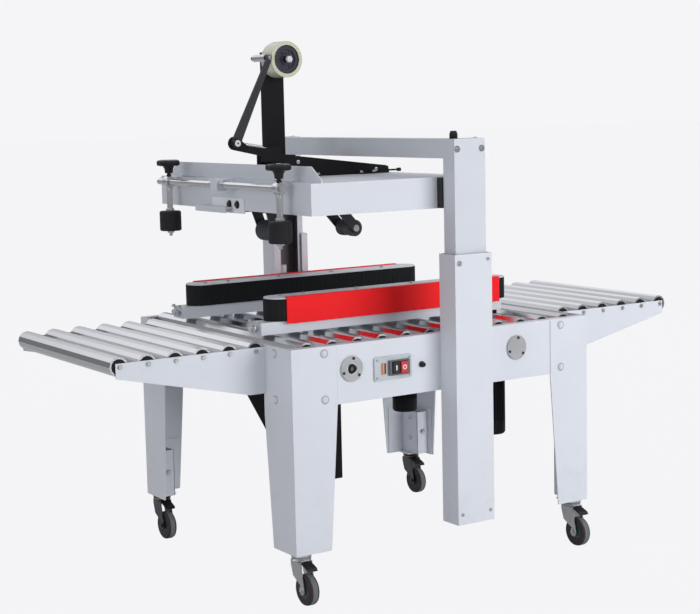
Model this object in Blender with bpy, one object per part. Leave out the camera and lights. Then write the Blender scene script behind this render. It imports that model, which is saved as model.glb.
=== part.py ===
"""Semi-automatic carton sealer with two side drive belts, at real size in metres, +Z up.

+X is the way the cartons travel (infeed at -X), -Y is the control side, and the origin is on the
floor under the middle of the machine. Each physical piece is one object; a piece that moves has
its origin on the axis it moves about.
"""

import math

import bmesh
import bpy
from mathutils import Matrix, Vector

# --- Fits shared by every piece ---------------------------------------------------------------
GAP = 0.0003  # between faces that touch
RUNNING = 0.0008  # between a turning or sliding bar and its hole
SLIDING = 0.002  # between a moving piece and what it passes
SHEET = 0.003  # folded sheet steel
WELD = 0.001  # how far welded pieces reach into each other

FRONT, REAR = -1, 1
INFEED, OUTFEED = -1, 1
SIDE_NAMES = {FRONT: "front", REAR: "rear"}
END_NAMES = {INFEED: "infeed", OUTFEED: "outfeed"}

# --- Bed ----------------------------------------------------------------------------------------
BED_LENGTH = 0.953
BED_WIDTH = 0.840
PANEL_TOP = 0.648
PANEL_BOTTOM = 0.498
PANEL_FLANGE = 0.022
ROLLER_RADIUS = 0.0245
ROLLER_AXIS_Z = 0.634
AXLE_RADIUS = 0.004
BED_ROLLERS = 12
BED_PITCH = 0.0755
STRIP_WALL = 0.004
STRIP_BOTTOM = 0.560
HEAD_GAP_HALF = 0.075  # half the gap between the rollers split around the lower taping head
HEAD_GAP_LENGTH = 0.430
FLANGE_RADIUS = 0.030  # of the round flanges on the front panel
FLANGE_HEIGHT = 0.003

# --- Legs and casters -----------------------------------------------------------------------------
LEG_BOTTOM = 0.128
LEG_FACE_TOP = 0.1315
LEG_FACE_BOTTOM = 0.1045
LEG_END_TOP = 0.138
LEG_END_BOTTOM = 0.111
LEG_END_SHOULDER = 0.030
INNER_LEG_WIDTH = 0.096
INNER_LEG_END_WIDTH = 0.103
INNER_LEG_TOP = 0.280
CASTER_INSET_X = 0.0315
CASTER_INSET_Y = 0.0300
CASTER_TRAIL = 0.026
WHEEL_RADIUS = 0.040
WHEEL_WIDTH = 0.026
FORK_WIDTH = 0.034
FORK_TOP = 0.110
FORK_REACH = 0.022
SWIVEL_RADIUS = 0.026
STEM_RADIUS = 0.006
CASTER_AXLE_RADIUS = 0.004
PEDAL_REACH = 0.052
PEDAL_DROP = 0.016

# --- Roller tables -------------------------------------------------------------------------------
TABLE_LENGTH = 0.4085
TABLE_HALF_WIDTH = 0.294
TABLE_TOP = 0.643
TABLE_TIP_DEPTH = 0.037
TABLE_ROOT_DEPTH = 0.118
TABLE_ROOT_LENGTH = 0.0465
TABLE_ROLLERS = 6
TABLE_PITCH = 0.0744
TABLE_FIRST = 0.0262  # from the root of the table to the first axle
AXLE_END = 0.004  # how far an axle stands out of the side plate

# --- Columns and mast ------------------------------------------------------------------------------
COLUMN_X = 0.034
SLEEVE_WIDTH = 0.118
SLEEVE_DEPTH = 0.0677
SLEEVE_LIP = 0.020
SLEEVE_BOTTOM = 0.148
SLEEVE_TOP = 0.854
WEAR_PAD_HEIGHT = 0.050
WEAR_PAD_WIDTH = 0.030
SCREW_TUBE_RADIUS = 0.015
SCREW_TUBE_OFFSET = -0.015
SCREW_TUBE_TOP = 0.760
INNER_WIDTH = 0.098
INNER_DEPTH = 0.048
INNER_LIP = 0.018
INNER_BOTTOM = 0.250
MAST_TOP = 1.148
CROSSBEAM_SIZE = 0.050
CRANK_STUB_RADIUS = 0.007
CRANK_STUB_HEIGHT = 0.017
CRANK_STUB_OFFSET = -0.033

# --- Side belt units --------------------------------------------------------------------------------
CARTON_WIDTH = 0.350  # between the two belts as set
BELT_CENTRE_X = -0.044
PULLEY_SPACING = 0.688
BELT_HALF_WIDTH = 0.040
BELT_THICKNESS = 0.004
BELT_BOTTOM = 0.695
BELT_HEIGHT = 0.057
RAIL_BOTTOM = 0.663
RAIL_HALF_WIDTH = 0.030
RAIL_INFEED_REACH = 0.030
RAIL_OUTFEED_REACH = -0.025
TENSION_SCREW_RADIUS = 0.004
TENSION_SCREW_LENGTH = 0.016
TOP_PLATE = 0.003
COVER_SHEET = 0.002
COVER_LIP = 0.014
COVER_SKIRT = 0.007
HANGER_WIDTH = 0.014  # fits between two bed rollers
NUT_WIDTH = 0.032
NUT_DEPTH = 0.030
NUT_BOTTOM = 0.566
WIDTH_SHAFT_RADIUS = 0.008
WIDTH_SHAFT_Z = 0.584
CRANK_HEAD_RADIUS = 0.012
CRANK_SOCKET_RADIUS = 0.006
CRANK_SOCKET_DEPTH = 0.006
WIDTH_SCREW_GAP = -4  # which gap between bed rollers, counted from the middle
GUIDE_SHAFT_GAP = 3
MOTOR_GAP = 4
GEARBOX_WIDTH = 0.118
GEARBOX_DEPTH = 0.080
GEARBOX_HEIGHT = 0.090
MOTOR_RADIUS = 0.038
MOTOR_TOP = 0.596
MOTOR_BOTTOM = 0.306
MOTOR_NECK = 0.012

# --- Switches ------------------------------------------------------------------------------------
SWITCH_X = -0.178
SWITCH_Z = 0.574
SWITCH_WIDTH = 0.116
SWITCH_HEIGHT = 0.062
SWITCH_PLATE = 0.004
LAMP_X = -0.206
LAMP_WIDTH = 0.016
LAMP_HEIGHT = 0.020
LAMP_DEPTH = 0.002
BEZEL_X = -0.162
BEZEL_WIDTH = 0.058
BEZEL_HEIGHT = 0.040
BEZEL_DEPTH = 0.008
BUTTON_WIDTH = 0.021
BUTTON_HEIGHT = 0.030
BUTTON_DEPTH = 0.007
BUTTON_SPACING = 0.025
BUTTON_TRAVEL = 0.003

# --- Head ------------------------------------------------------------------------------------------
HEAD_INFEED_X = -0.400
HEAD_OUTFEED_X = 0.100
HEAD_SIDE_ROOM = 0.0222  # between the tray and the inner column on each side
HEAD_BOTTOM = 0.970
HEAD_TOP = 1.050
BAND_X = -0.368
BAND_TOP = 1.090
BAND_SHOULDER = 1.058
BAND_SLOPE = 0.048  # how far in from the tray's side the band reaches its full height
SLOT_HALF_WIDTH = 0.052
SLOT_INFEED_X = -0.350
SLOT_OUTFEED_X = 0.088
SLIDER_OVERHANG = 0.005  # the wear pad outside the column's flange
TONGUE_DEPTH = 0.030  # how far the slider reaches into the column
GUIDE_Y = (-0.076, 0.098)
GUIDE_TOP = 1.002
GUIDE_BOTTOM = 0.962
SHELF_Y = (-0.020, 0.150)
SHELF_REACH = 0.028
SHELF_LIP = 0.016
TUBE_BRACKET_REACH = 0.016

# --- Presser ---------------------------------------------------------------------------------------
TUBE_X = -0.440
TUBE_Z = 1.038
TUBE_RADIUS = 0.009
TUBE_HALF_LENGTH = 0.338
COLLAR_RADIUS = 0.014
COLLAR_WIDTH = 0.012
COLLAR_Y = (-0.035, 0.014)
PRESSER_Y = {FRONT: -0.323, REAR: 0.279}
EYE_RADIUS = 0.0165
EYE_HALF_WIDTH = 0.011
PRESSER_RADIUS = 0.030
PRESSER_HEIGHT = 0.055
PRESSER_TOP = 0.957
ROD_RADIUS = 0.008
ROD_COLLAR_RADIUS = 0.0115
ROD_COLLAR_HEIGHT = 0.006
STUD_RADIUS = 0.0045
KNOB_RADIUS = 0.033
KNOB_NECK_BOTTOM = 1.062
KNOB_DISC_BOTTOM = 1.082
KNOB_TOP = 1.099

# --- Upper taping head -------------------------------------------------------------------------------
CHEEK_Y = 0.045
CHEEK_SHEET = 0.004
CHEEK_INFEED_X = -0.335
CHEEK_SHOULDER_X = -0.291
CHEEK_OUTFEED_X = 0.082
CHEEK_BOTTOM = 0.958
CHEEK_TOP = 1.113
CHEEK_TIP_TOP = 1.071
TIE_RADIUS = 0.005
FOOT_WIDTH = 0.050
APPLY_PIVOT = (-0.316, 1.000)
WIPE_PIVOT = (-0.118, 1.000)
APPLY_ROLLER = (-0.281, 0.907)
WIPE_ROLLER = (-0.028, 0.900)
APPLY_RADIUS = 0.028
WIPE_RADIUS = 0.023
TAPE_ROLLER_HALF = 0.034
ARM_OUTER_Y = 0.040
ARM_END_RADIUS = 0.014
PIVOT_RADIUS = 0.006
ROLL_CENTRE = (-0.231, 1.364)
ROLL_RADIUS = 0.048
ROLL_HALF_WIDTH = 0.028
ROLL_CORE_RADIUS = 0.0375
HUB_HALF_WIDTH = 0.014
SPINDLE_RADIUS = 0.008
SPINDLE_END_Y = -0.036
BAR_X = (-0.270, -0.208)
BAR_Y = (0.031, 0.049)
BAR_BOTTOM = 1.060
BAR_TOP = 1.385
EAR_OUTER_Y = 0.049
EAR_TOP = 1.131
EAR_NOTCH = (-0.327, 1.110)
EAR_RADIUS = 0.018
TENSION_PIVOT = (-0.408, 1.146)
TENSION_TOP = (-0.299, 1.368)
TENSION_ARM_SHEET = 0.005
TENSION_ROOT_RADIUS = 0.0135
TENSION_END_RADIUS = 0.0075
TENSION_ROLLER_RADIUS = 0.006
TENSION_ROLLER_LENGTH = 0.092
PIN_HEAD_RADIUS = 0.010
PIN_HEAD_WIDTH = 0.004
ROD_END_X = 0.121
ROD_END_RADIUS = 0.005

# --- Lower taping head ---------------------------------------------------------------------------------
LOWER_CHEEK_Y = 0.062
LOWER_TOP = 0.657
LOWER_SHOULDER = 0.560
LOWER_BOTTOM = 0.430
LOWER_HALF_LENGTH = 0.200
LOWER_APPLY_X = -0.130
LOWER_WIPE_X = 0.100
LOWER_PLATE_Z = 0.648
LOWER_BAR_X = (-0.110, -0.048)
LOWER_BAR_BOTTOM = 0.183
LOWER_EAR_TIP = (-0.262, 0.318)  # the lowest and the outermost corners of the lower ear
LOWER_EAR_SHOULDER = (-0.344, 0.470)
TAB_WIDTH = 0.040
TAB_Z = 0.600

SMOOTH_ANGLE = math.radians(35)

# --- Derived places --------------------------------------------------------------------------------
END_X = BED_LENGTH / 2
SIDE_Y = BED_WIDTH / 2
SEAM_X = END_X - LEG_FACE_TOP
LINING_Y = SIDE_Y - SHEET - GAP
LINING_X = END_X - SHEET - GAP
STRIP_Y = LINING_Y - SHEET - GAP
STRIP_TOP = PANEL_TOP - SHEET - SLIDING
STRIP_X = LINING_X - SLIDING
SLEEVE_INNER_Y = SIDE_Y + GAP
SLEEVE_OUTER_Y = SLEEVE_INNER_Y + SLEEVE_DEPTH
COLUMN_Y = (SLEEVE_INNER_Y + SLEEVE_OUTER_Y) / 2
INNER_OUTER_Y = COLUMN_Y + INNER_DEPTH / 2
INNER_INNER_Y = COLUMN_Y - INNER_DEPTH / 2
HEAD_HALF_WIDTH = INNER_INNER_Y - HEAD_SIDE_ROOM
BELT_Y = CARTON_WIDTH / 2 + BELT_HALF_WIDTH
INFEED_PULLEY_X = BELT_CENTRE_X - PULLEY_SPACING / 2
OUTFEED_PULLEY_X = BELT_CENTRE_X + PULLEY_SPACING / 2
RAIL_TOP = BELT_BOTTOM - GAP
TOP_PLATE_Z = BELT_BOTTOM + BELT_HEIGHT + GAP
COVER_TOP = TOP_PLATE_Z + TOP_PLATE + GAP + COVER_SHEET
WIDTH_SCREW_X = WIDTH_SCREW_GAP * BED_PITCH
GUIDE_SHAFT_X = GUIDE_SHAFT_GAP * BED_PITCH
MOTOR_X = MOTOR_GAP * BED_PITCH
TABLE_ROOT_X = END_X + GAP
TABLE_END_X = TABLE_ROOT_X + TABLE_LENGTH
CASTER_X = END_X - CASTER_INSET_X
CASTER_Y = SIDE_Y - CASTER_INSET_Y
SWITCH_FACE_Y = -(SIDE_Y + GAP + SWITCH_PLATE)
BEZEL_FACE_Y = SWITCH_FACE_Y - BEZEL_DEPTH
PRESSER_BOTTOM = PRESSER_TOP - PRESSER_HEIGHT
EYE_BORE = TUBE_RADIUS + RUNNING


# --- Materials -------------------------------------------------------------------------------------
def finish(name, colour, roughness, metallic=0.0):
    """A Principled material with one colour."""
    material = bpy.data.materials.new(name)
    material.use_nodes = True
    shader = material.node_tree.nodes["Principled BSDF"]
    shader.inputs["Base Color"].default_value = (*colour, 1.0)
    shader.inputs["Roughness"].default_value = roughness
    shader.inputs["Metallic"].default_value = metallic
    return material


# --- Solids ------------------------------------------------------------------------------------------
AXIS_TURNS = {
    "X": Matrix.Rotation(math.pi / 2, 4, "Y"),
    "Y": Matrix.Rotation(-math.pi / 2, 4, "X"),
    "Z": Matrix.Identity(4),
}


def solid_from(bm):
    """An object holding the bmesh, with its faces pointing out."""
    bmesh.ops.recalc_face_normals(bm, faces=bm.faces)
    mesh = bpy.data.meshes.new("solid")
    bm.to_mesh(mesh)
    bm.free()
    solid = bpy.data.objects.new("solid", mesh)
    bpy.context.scene.collection.objects.link(solid)
    return solid


def box(low, high):
    """A box between two corners, given in any order."""
    low, high = Vector(map(min, low, high)), Vector(map(max, low, high))
    bm = bmesh.new()
    bmesh.ops.create_cube(bm, size=1.0)
    bmesh.ops.scale(bm, vec=high - low, verts=bm.verts)
    bmesh.ops.translate(bm, vec=(low + high) / 2, verts=bm.verts)
    return solid_from(bm)


def prism(outline, axis, start, end):
    """An outline in the plane across an axis, extruded along it. Points are (y, z), (x, z) or (x, y)."""
    place = {
        "X": lambda a, b: (start, a, b),
        "Y": lambda a, b: (a, start, b),
        "Z": lambda a, b: (a, b, start),
    }[axis]
    along = Vector([end - start if name == axis else 0.0 for name in "XYZ"])
    bm = bmesh.new()
    face = bm.faces.new([bm.verts.new(place(*point)) for point in outline])
    swept = bmesh.ops.extrude_face_region(bm, geom=[face])["geom"]
    bmesh.ops.translate(bm, vec=along, verts=[item for item in swept if isinstance(item, bmesh.types.BMVert)])
    return solid_from(bm)


def rod(centre, axis, radius, length, sides=16):
    """A round bar centred on a point."""
    bm = bmesh.new()
    bmesh.ops.create_cone(
        bm, cap_ends=True, segments=sides, radius1=radius, radius2=radius, depth=length,
        matrix=Matrix.Translation(centre) @ AXIS_TURNS[axis],
    )
    return solid_from(bm)


def bar(start, end, radius, sides=16):
    """A round bar between two points that differ along one axis only."""
    start, end = Vector(start), Vector(end)
    lengths = [abs(part) for part in end - start]
    return rod((start + end) / 2, "XYZ"[lengths.index(max(lengths))], radius, max(lengths), sides)


def turned(profile, centre, axis, sides=24):
    """A profile of (radius, height) points turned about an axis; it ends on the axis, or is a ring."""
    bm = bmesh.new()
    points = [bm.verts.new((radius, 0.0, height)) for radius, height in profile]
    ends = zip(points, points[1:]) if profile[0][0] == 0.0 else zip(points, points[1:] + points[:1])
    lines = [bm.edges.new(pair) for pair in ends]
    bmesh.ops.spin(
        bm, geom=points + lines, axis=(0, 0, 1), cent=(0, 0, 0), angle=math.tau, steps=sides, use_merge=True,
    )
    bmesh.ops.remove_doubles(bm, verts=bm.verts, dist=1e-6)
    bmesh.ops.transform(bm, matrix=Matrix.Translation(centre) @ AXIS_TURNS[axis], verts=bm.verts)
    return solid_from(bm)


def arc(centre, radius, start, end, steps=6):
    """Points on an arc between two angles."""
    angles = [start + (end - start) * step / steps for step in range(steps + 1)]
    return [(centre[0] + radius * math.cos(angle), centre[1] + radius * math.sin(angle)) for angle in angles]


def link(start, end, start_radius, end_radius, steps=6):
    """The outline of a flat link with round ends, or of a loop round two pulleys."""
    heading = math.atan2(end[1] - start[1], end[0] - start[0])
    quarter = math.pi / 2
    back = arc(start, start_radius, heading + quarter, heading + 3 * quarter, steps)
    return back + arc(end, end_radius, heading - quarter, heading + quarter, steps)


def combine(target, tool, operation):
    """Apply one Boolean to the target and remove the tool."""
    modifier = target.modifiers.new(operation.title(), "BOOLEAN")
    modifier.operation = operation
    modifier.object = tool
    bpy.context.view_layer.update()
    graph = bpy.context.evaluated_depsgraph_get()
    result = bpy.data.meshes.new_from_object(target.evaluated_get(graph))
    target.modifiers.clear()
    target.data = result
    bpy.data.objects.remove(tool)


def fuse(target, *others):
    """Weld solids that overlap into one body."""
    for other in others:
        combine(target, other, "UNION")
    return target


def cut(target, *cutters):
    """Take the cutters away from the target."""
    for cutter in cutters:
        combine(target, cutter, "DIFFERENCE")
    return target


def mirrored(solid, x=1, y=1):
    """Reflect a solid through the middle planes, where a factor is -1."""
    bm = bmesh.new()
    bm.from_mesh(solid.data)
    bmesh.ops.scale(bm, vec=(x, y, 1), verts=bm.verts)
    bpy.data.objects.remove(solid)
    return solid_from(bm)


def name_piece(solid, name, material, origin=(0.0, 0.0, 0.0), smooth=False):
    """Give a finished solid its name and finish, and put its origin on its joint's axis."""
    solid.name = name
    solid.data.name = name
    solid.data.materials.clear()
    solid.data.materials.append(material)
    solid.data.transform(Matrix.Translation(-Vector(origin)))
    solid.location = origin
    if smooth:
        solid.data.shade_smooth()
        solid.data.set_sharp_from_angle(angle=SMOOTH_ANGLE)
    return solid


def copy_piece(source, name, origin):
    """Another piece with the same mesh."""
    twin = bpy.data.objects.new(name, source.data)
    twin.location = origin
    bpy.context.scene.collection.objects.link(twin)
    return twin


# --- Bed -----------------------------------------------------------------------------------------
def side_panel(side):
    """The bed's side: an outer web between the legs, on a lining that runs behind them to both ends."""
    web = box(
        (-SEAM_X + GAP, side * SIDE_Y, PANEL_BOTTOM), (SEAM_X - GAP, side * (LINING_Y - WELD), PANEL_TOP),
    )
    lining = prism(
        [
            (side * LINING_Y, PANEL_BOTTOM),
            (side * LINING_Y, PANEL_TOP),
            (side * (LINING_Y - PANEL_FLANGE), PANEL_TOP),
            (side * (LINING_Y - PANEL_FLANGE), PANEL_TOP - SHEET),
            (side * (LINING_Y - SHEET), PANEL_TOP - SHEET),
            (side * (LINING_Y - SHEET), PANEL_BOTTOM),
        ],
        "X", -LINING_X, LINING_X,
    )
    panel = fuse(web, lining)
    if side == REAR:
        return panel
    for x in (WIDTH_SCREW_X, GUIDE_SHAFT_X):
        fuse(panel, bar(
            (x, -SIDE_Y - FLANGE_HEIGHT, WIDTH_SHAFT_Z), (x, -SIDE_Y + WELD, WIDTH_SHAFT_Z), FLANGE_RADIUS, sides=20,
        ))
    return cut(panel, rod((WIDTH_SCREW_X, -SIDE_Y, WIDTH_SHAFT_Z), "Y", CRANK_HEAD_RADIUS + RUNNING, 0.1))


def outer_leg(side, end):
    """A leg folded from one sheet: a tapered face in line with the side panel, and a tapered end face."""
    face = prism(
        [
            (END_X, LEG_BOTTOM),
            (END_X, PANEL_TOP),
            (SEAM_X, PANEL_TOP),
            (SEAM_X, PANEL_BOTTOM),
            (END_X - LEG_FACE_BOTTOM, LEG_BOTTOM),
        ],
        "Y", SIDE_Y - SHEET, SIDE_Y,
    )
    end_face = prism(
        [
            (SIDE_Y, LEG_BOTTOM),
            (SIDE_Y, PANEL_TOP),
            (SIDE_Y - LEG_END_TOP, PANEL_TOP),
            (SIDE_Y - LEG_END_TOP, PANEL_BOTTOM - LEG_END_SHOULDER),
            (SIDE_Y - LEG_END_BOTTOM, LEG_BOTTOM),
        ],
        "X", END_X - SHEET, END_X,
    )
    return mirrored(fuse(face, end_face), x=end, y=side)


def inner_leg(side, end):
    """The telescoping lower leg, an angle with a foot plate that carries the caster."""
    outer_x = LINING_X
    outer_y = LINING_Y
    angle = prism(
        [
            (outer_x, outer_y),
            (outer_x, outer_y - INNER_LEG_END_WIDTH),
            (outer_x - SHEET, outer_y - INNER_LEG_END_WIDTH),
            (outer_x - SHEET, outer_y - SHEET),
            (outer_x - INNER_LEG_WIDTH, outer_y - SHEET),
            (outer_x - INNER_LEG_WIDTH, outer_y),
        ],
        "Z", LEG_BOTTOM, INNER_LEG_TOP,
    )
    foot = box(
        (outer_x - WELD, outer_y - WELD, LEG_BOTTOM),
        (END_X - 2 * CASTER_INSET_X, SIDE_Y - 2 * CASTER_INSET_Y, LEG_BOTTOM + SHEET),
    )
    stem_hole = rod((CASTER_X, CASTER_Y, LEG_BOTTOM), "Z", STEM_RADIUS + RUNNING, 0.02, sides=12)
    return mirrored(cut(fuse(angle, foot), stem_hole), x=end, y=side)


def caster_fork():
    """A swivelling fork with its stem, axle and brake pedal; the wheel trails toward the front."""
    top = LEG_BOTTOM - GAP
    fork = bar((0, 0, FORK_TOP), (0, 0, top), SWIVEL_RADIUS, sides=20)
    fuse(fork, bar((0, 0, top - WELD), (0, 0, LEG_BOTTOM + 2 * SHEET), STEM_RADIUS, sides=12))
    fuse(fork, box(
        (-FORK_WIDTH / 2, -FORK_REACH, FORK_TOP - SHEET), (FORK_WIDTH / 2, FORK_REACH, FORK_TOP + WELD),
    ))
    axle = (-CASTER_TRAIL, WHEEL_RADIUS)
    cheek = [(FORK_REACH, FORK_TOP), (-FORK_REACH, FORK_TOP)]
    cheek += arc(axle, FORK_REACH / 2, math.pi, math.tau, steps=6)
    for turn in (-1, 1):
        fuse(fork, prism(cheek, "X", turn * (FORK_WIDTH / 2 - SHEET), turn * FORK_WIDTH / 2))
    pedal = [
        (-FORK_REACH + WELD, FORK_TOP - SHEET),
        (-FORK_REACH + WELD, FORK_TOP),
        (-PEDAL_REACH, FORK_TOP - PEDAL_DROP + SHEET),
        (-PEDAL_REACH, FORK_TOP - PEDAL_DROP),
    ]
    fuse(fork, prism(pedal, "X", -FORK_WIDTH / 2 + WELD, FORK_WIDTH / 2 - WELD))
    reach = FORK_WIDTH / 2 + SHEET
    return fuse(fork, bar((-reach, *axle), (reach, *axle), CASTER_AXLE_RADIUS, sides=12))


def caster_wheel():
    """A wheel turned about X, with eased edges and a bore for its axle."""
    bore = CASTER_AXLE_RADIUS + RUNNING
    half = WHEEL_WIDTH / 2
    side = [(bore, half), (WHEEL_RADIUS - SHEET, half), (WHEEL_RADIUS, half - SHEET)]
    profile = side + [(radius, -height) for radius, height in reversed(side)]
    return turned(profile, (0, 0, 0), "X", sides=24)


def idle_roller(x, tube, axle, sides):
    """A roller tube on its axle along Y; the tube and the axle are each a (from, to) pair."""
    profile = [
        (0.0, axle[0]),
        (AXLE_RADIUS, axle[0]),
        (AXLE_RADIUS, tube[0]),
        (ROLLER_RADIUS, tube[0]),
        (ROLLER_RADIUS, tube[1]),
        (AXLE_RADIUS, tube[1]),
        (AXLE_RADIUS, axle[1]),
        (0.0, axle[1]),
    ]
    return turned(profile, (x, 0.0, ROLLER_AXIS_Z), "Y", sides)


def roller_bed():
    """The rollers between the side panels, split around the lower taping head, with their strips."""
    tube_end = LINING_Y - PANEL_FLANGE - SLIDING
    axle_end = STRIP_Y - WELD
    tube_start = HEAD_GAP_HALF + SLIDING
    axle_start = HEAD_GAP_HALF - WELD
    bed = box((-STRIP_X, -STRIP_Y, STRIP_BOTTOM), (STRIP_X, -STRIP_Y + STRIP_WALL, STRIP_TOP))
    fuse(bed, box((-STRIP_X, STRIP_Y, STRIP_BOTTOM), (STRIP_X, STRIP_Y - STRIP_WALL, STRIP_TOP)))
    for end in (INFEED, OUTFEED):
        fuse(bed, box(
            (end * (STRIP_X - WELD), -axle_end, STRIP_BOTTOM + WELD),
            (end * (STRIP_X - STRIP_WALL), axle_end, ROLLER_AXIS_Z - ROLLER_RADIUS - SLIDING),
        ))
    for side in (FRONT, REAR):
        fuse(bed, box(
            (-HEAD_GAP_LENGTH / 2, side * HEAD_GAP_HALF, STRIP_BOTTOM),
            (HEAD_GAP_LENGTH / 2, side * (HEAD_GAP_HALF - STRIP_WALL), STRIP_TOP),
        ))
    for index in range(BED_ROLLERS):
        x = (index - (BED_ROLLERS - 1) / 2) * BED_PITCH
        if abs(x) > HEAD_GAP_LENGTH / 2:
            fuse(bed, idle_roller(x, (-tube_end, tube_end), (-axle_end, axle_end), sides=10))
            continue
        fuse(bed, idle_roller(x, (-tube_end, -tube_start), (-axle_end, -axle_start), sides=10))
        fuse(bed, idle_roller(x, (tube_start, tube_end), (axle_start, axle_end), sides=10))
    fuse(bed, bar(
        (GUIDE_SHAFT_X, -axle_end, WIDTH_SHAFT_Z), (GUIDE_SHAFT_X, axle_end, WIDTH_SHAFT_Z),
        WIDTH_SHAFT_RADIUS, sides=12,
    ))
    return cut(bed, rod((WIDTH_SCREW_X, 0, WIDTH_SHAFT_Z), "Y", WIDTH_SHAFT_RADIUS + RUNNING, BED_WIDTH, sides=12))


def table_roller_x(index):
    """The distance of a table roller's axis from the middle of the machine."""
    return TABLE_ROOT_X + TABLE_FIRST + index * TABLE_PITCH


def table_frame(end):
    """A roller table's frame: two tapered side plates on a cross sheet that bolts to the bed's end."""
    bottom = TABLE_TOP - TABLE_ROOT_DEPTH
    frame = box(
        (TABLE_ROOT_X, -TABLE_HALF_WIDTH + WELD, bottom),
        (TABLE_ROOT_X + SHEET, TABLE_HALF_WIDTH - WELD, ROLLER_AXIS_Z - ROLLER_RADIUS - SLIDING),
    )
    outline = [
        (TABLE_ROOT_X, TABLE_TOP),
        (TABLE_END_X, TABLE_TOP),
        (TABLE_END_X, TABLE_TOP - TABLE_TIP_DEPTH),
        (TABLE_ROOT_X + TABLE_ROOT_LENGTH, bottom),
        (TABLE_ROOT_X, bottom),
    ]
    for side in (FRONT, REAR):
        fuse(frame, prism(outline, "Y", side * (TABLE_HALF_WIDTH - SHEET), side * TABLE_HALF_WIDTH))
    for index in range(TABLE_ROLLERS):
        axle = (table_roller_x(index), 0.0, ROLLER_AXIS_Z)
        cut(frame, rod(axle, "Y", AXLE_RADIUS + RUNNING, 3 * TABLE_HALF_WIDTH, sides=8))
    return mirrored(frame, x=end)


def table_roller():
    """One free roller of a table, with its axle ends through the side plates."""
    tube_half = TABLE_HALF_WIDTH - SHEET - SLIDING
    axle_half = TABLE_HALF_WIDTH + AXLE_END
    return idle_roller(0.0, (-tube_half, tube_half), (-axle_half, axle_half), sides=12)


# --- Columns and mast ------------------------------------------------------------------------------
def lipped_channel(width, inner_y, outer_y, lip):
    """The outline of a channel open toward the middle of the machine, with a lip on each flange."""
    left, right = COLUMN_X - width / 2, COLUMN_X + width / 2
    return [
        (left, outer_y),
        (right, outer_y),
        (right, inner_y),
        (right - lip, inner_y),
        (right - lip, inner_y + SHEET),
        (right - SHEET, inner_y + SHEET),
        (right - SHEET, outer_y - SHEET),
        (left + SHEET, outer_y - SHEET),
        (left + SHEET, inner_y + SHEET),
        (left + lip, inner_y + SHEET),
        (left + lip, inner_y),
        (left, inner_y),
    ]


def column_sleeve(side):
    """The fixed outer column on the side panel, with its floor, wear pads and the height screw's tube."""
    outline = lipped_channel(SLEEVE_WIDTH, SLEEVE_INNER_Y, SLEEVE_OUTER_Y, SLEEVE_LIP)
    sleeve = prism(outline, "Z", SLEEVE_BOTTOM, SLEEVE_TOP)
    half = SLEEVE_WIDTH / 2 - WELD
    fuse(sleeve, box(
        (COLUMN_X - half, SLEEVE_INNER_Y + WELD, SLEEVE_BOTTOM),
        (COLUMN_X + half, SLEEVE_OUTER_Y - WELD, SLEEVE_BOTTOM + SHEET),
    ))
    for turn in (-1, 1):
        fuse(sleeve, box(
            (COLUMN_X + turn * (SLEEVE_WIDTH / 2 - WELD), COLUMN_Y - WEAR_PAD_WIDTH / 2, SLEEVE_TOP - WEAR_PAD_HEIGHT),
            (COLUMN_X + turn * (INNER_WIDTH / 2 + RUNNING), COLUMN_Y + WEAR_PAD_WIDTH / 2, SLEEVE_TOP - WELD),
        ))
    screw_x = COLUMN_X + SCREW_TUBE_OFFSET
    fuse(sleeve, bar(
        (screw_x, COLUMN_Y, SLEEVE_BOTTOM + WELD), (screw_x, COLUMN_Y, SCREW_TUBE_TOP), SCREW_TUBE_RADIUS,
    ))
    return mirrored(sleeve, y=side)


def mast():
    """The two inner columns that rise out of the sleeves, and the crossbeam between them."""
    left, right = COLUMN_X - INNER_WIDTH / 2, COLUMN_X + INNER_WIDTH / 2
    inner_top = MAST_TOP - CROSSBEAM_SIZE
    beam = prism(
        [
            (left, inner_top),
            (left, MAST_TOP),
            (left + CROSSBEAM_SIZE, MAST_TOP),
            (left + CROSSBEAM_SIZE, MAST_TOP - SHEET),
            (left + SHEET, MAST_TOP - SHEET),
            (left + SHEET, inner_top + SHEET),
            (left + CROSSBEAM_SIZE, inner_top + SHEET),
            (left + CROSSBEAM_SIZE, inner_top),
        ],
        "Y", -INNER_INNER_Y - WELD, INNER_INNER_Y + WELD,
    )
    outline = lipped_channel(INNER_WIDTH, INNER_INNER_Y, INNER_OUTER_Y, INNER_LIP)
    stub_x = COLUMN_X + CRANK_STUB_OFFSET
    for side in (FRONT, REAR):
        column = prism(outline, "Z", INNER_BOTTOM, MAST_TOP - WELD)
        fuse(column, box((left, INNER_INNER_Y, MAST_TOP - SHEET), (right, INNER_OUTER_Y, MAST_TOP)))
        fuse(column, bar(
            (stub_x, COLUMN_Y, MAST_TOP - WELD), (stub_x, COLUMN_Y, MAST_TOP + CRANK_STUB_HEIGHT),
            CRANK_STUB_RADIUS, sides=12,
        ))
        fuse(beam, mirrored(column, y=side))
    return beam


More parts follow.
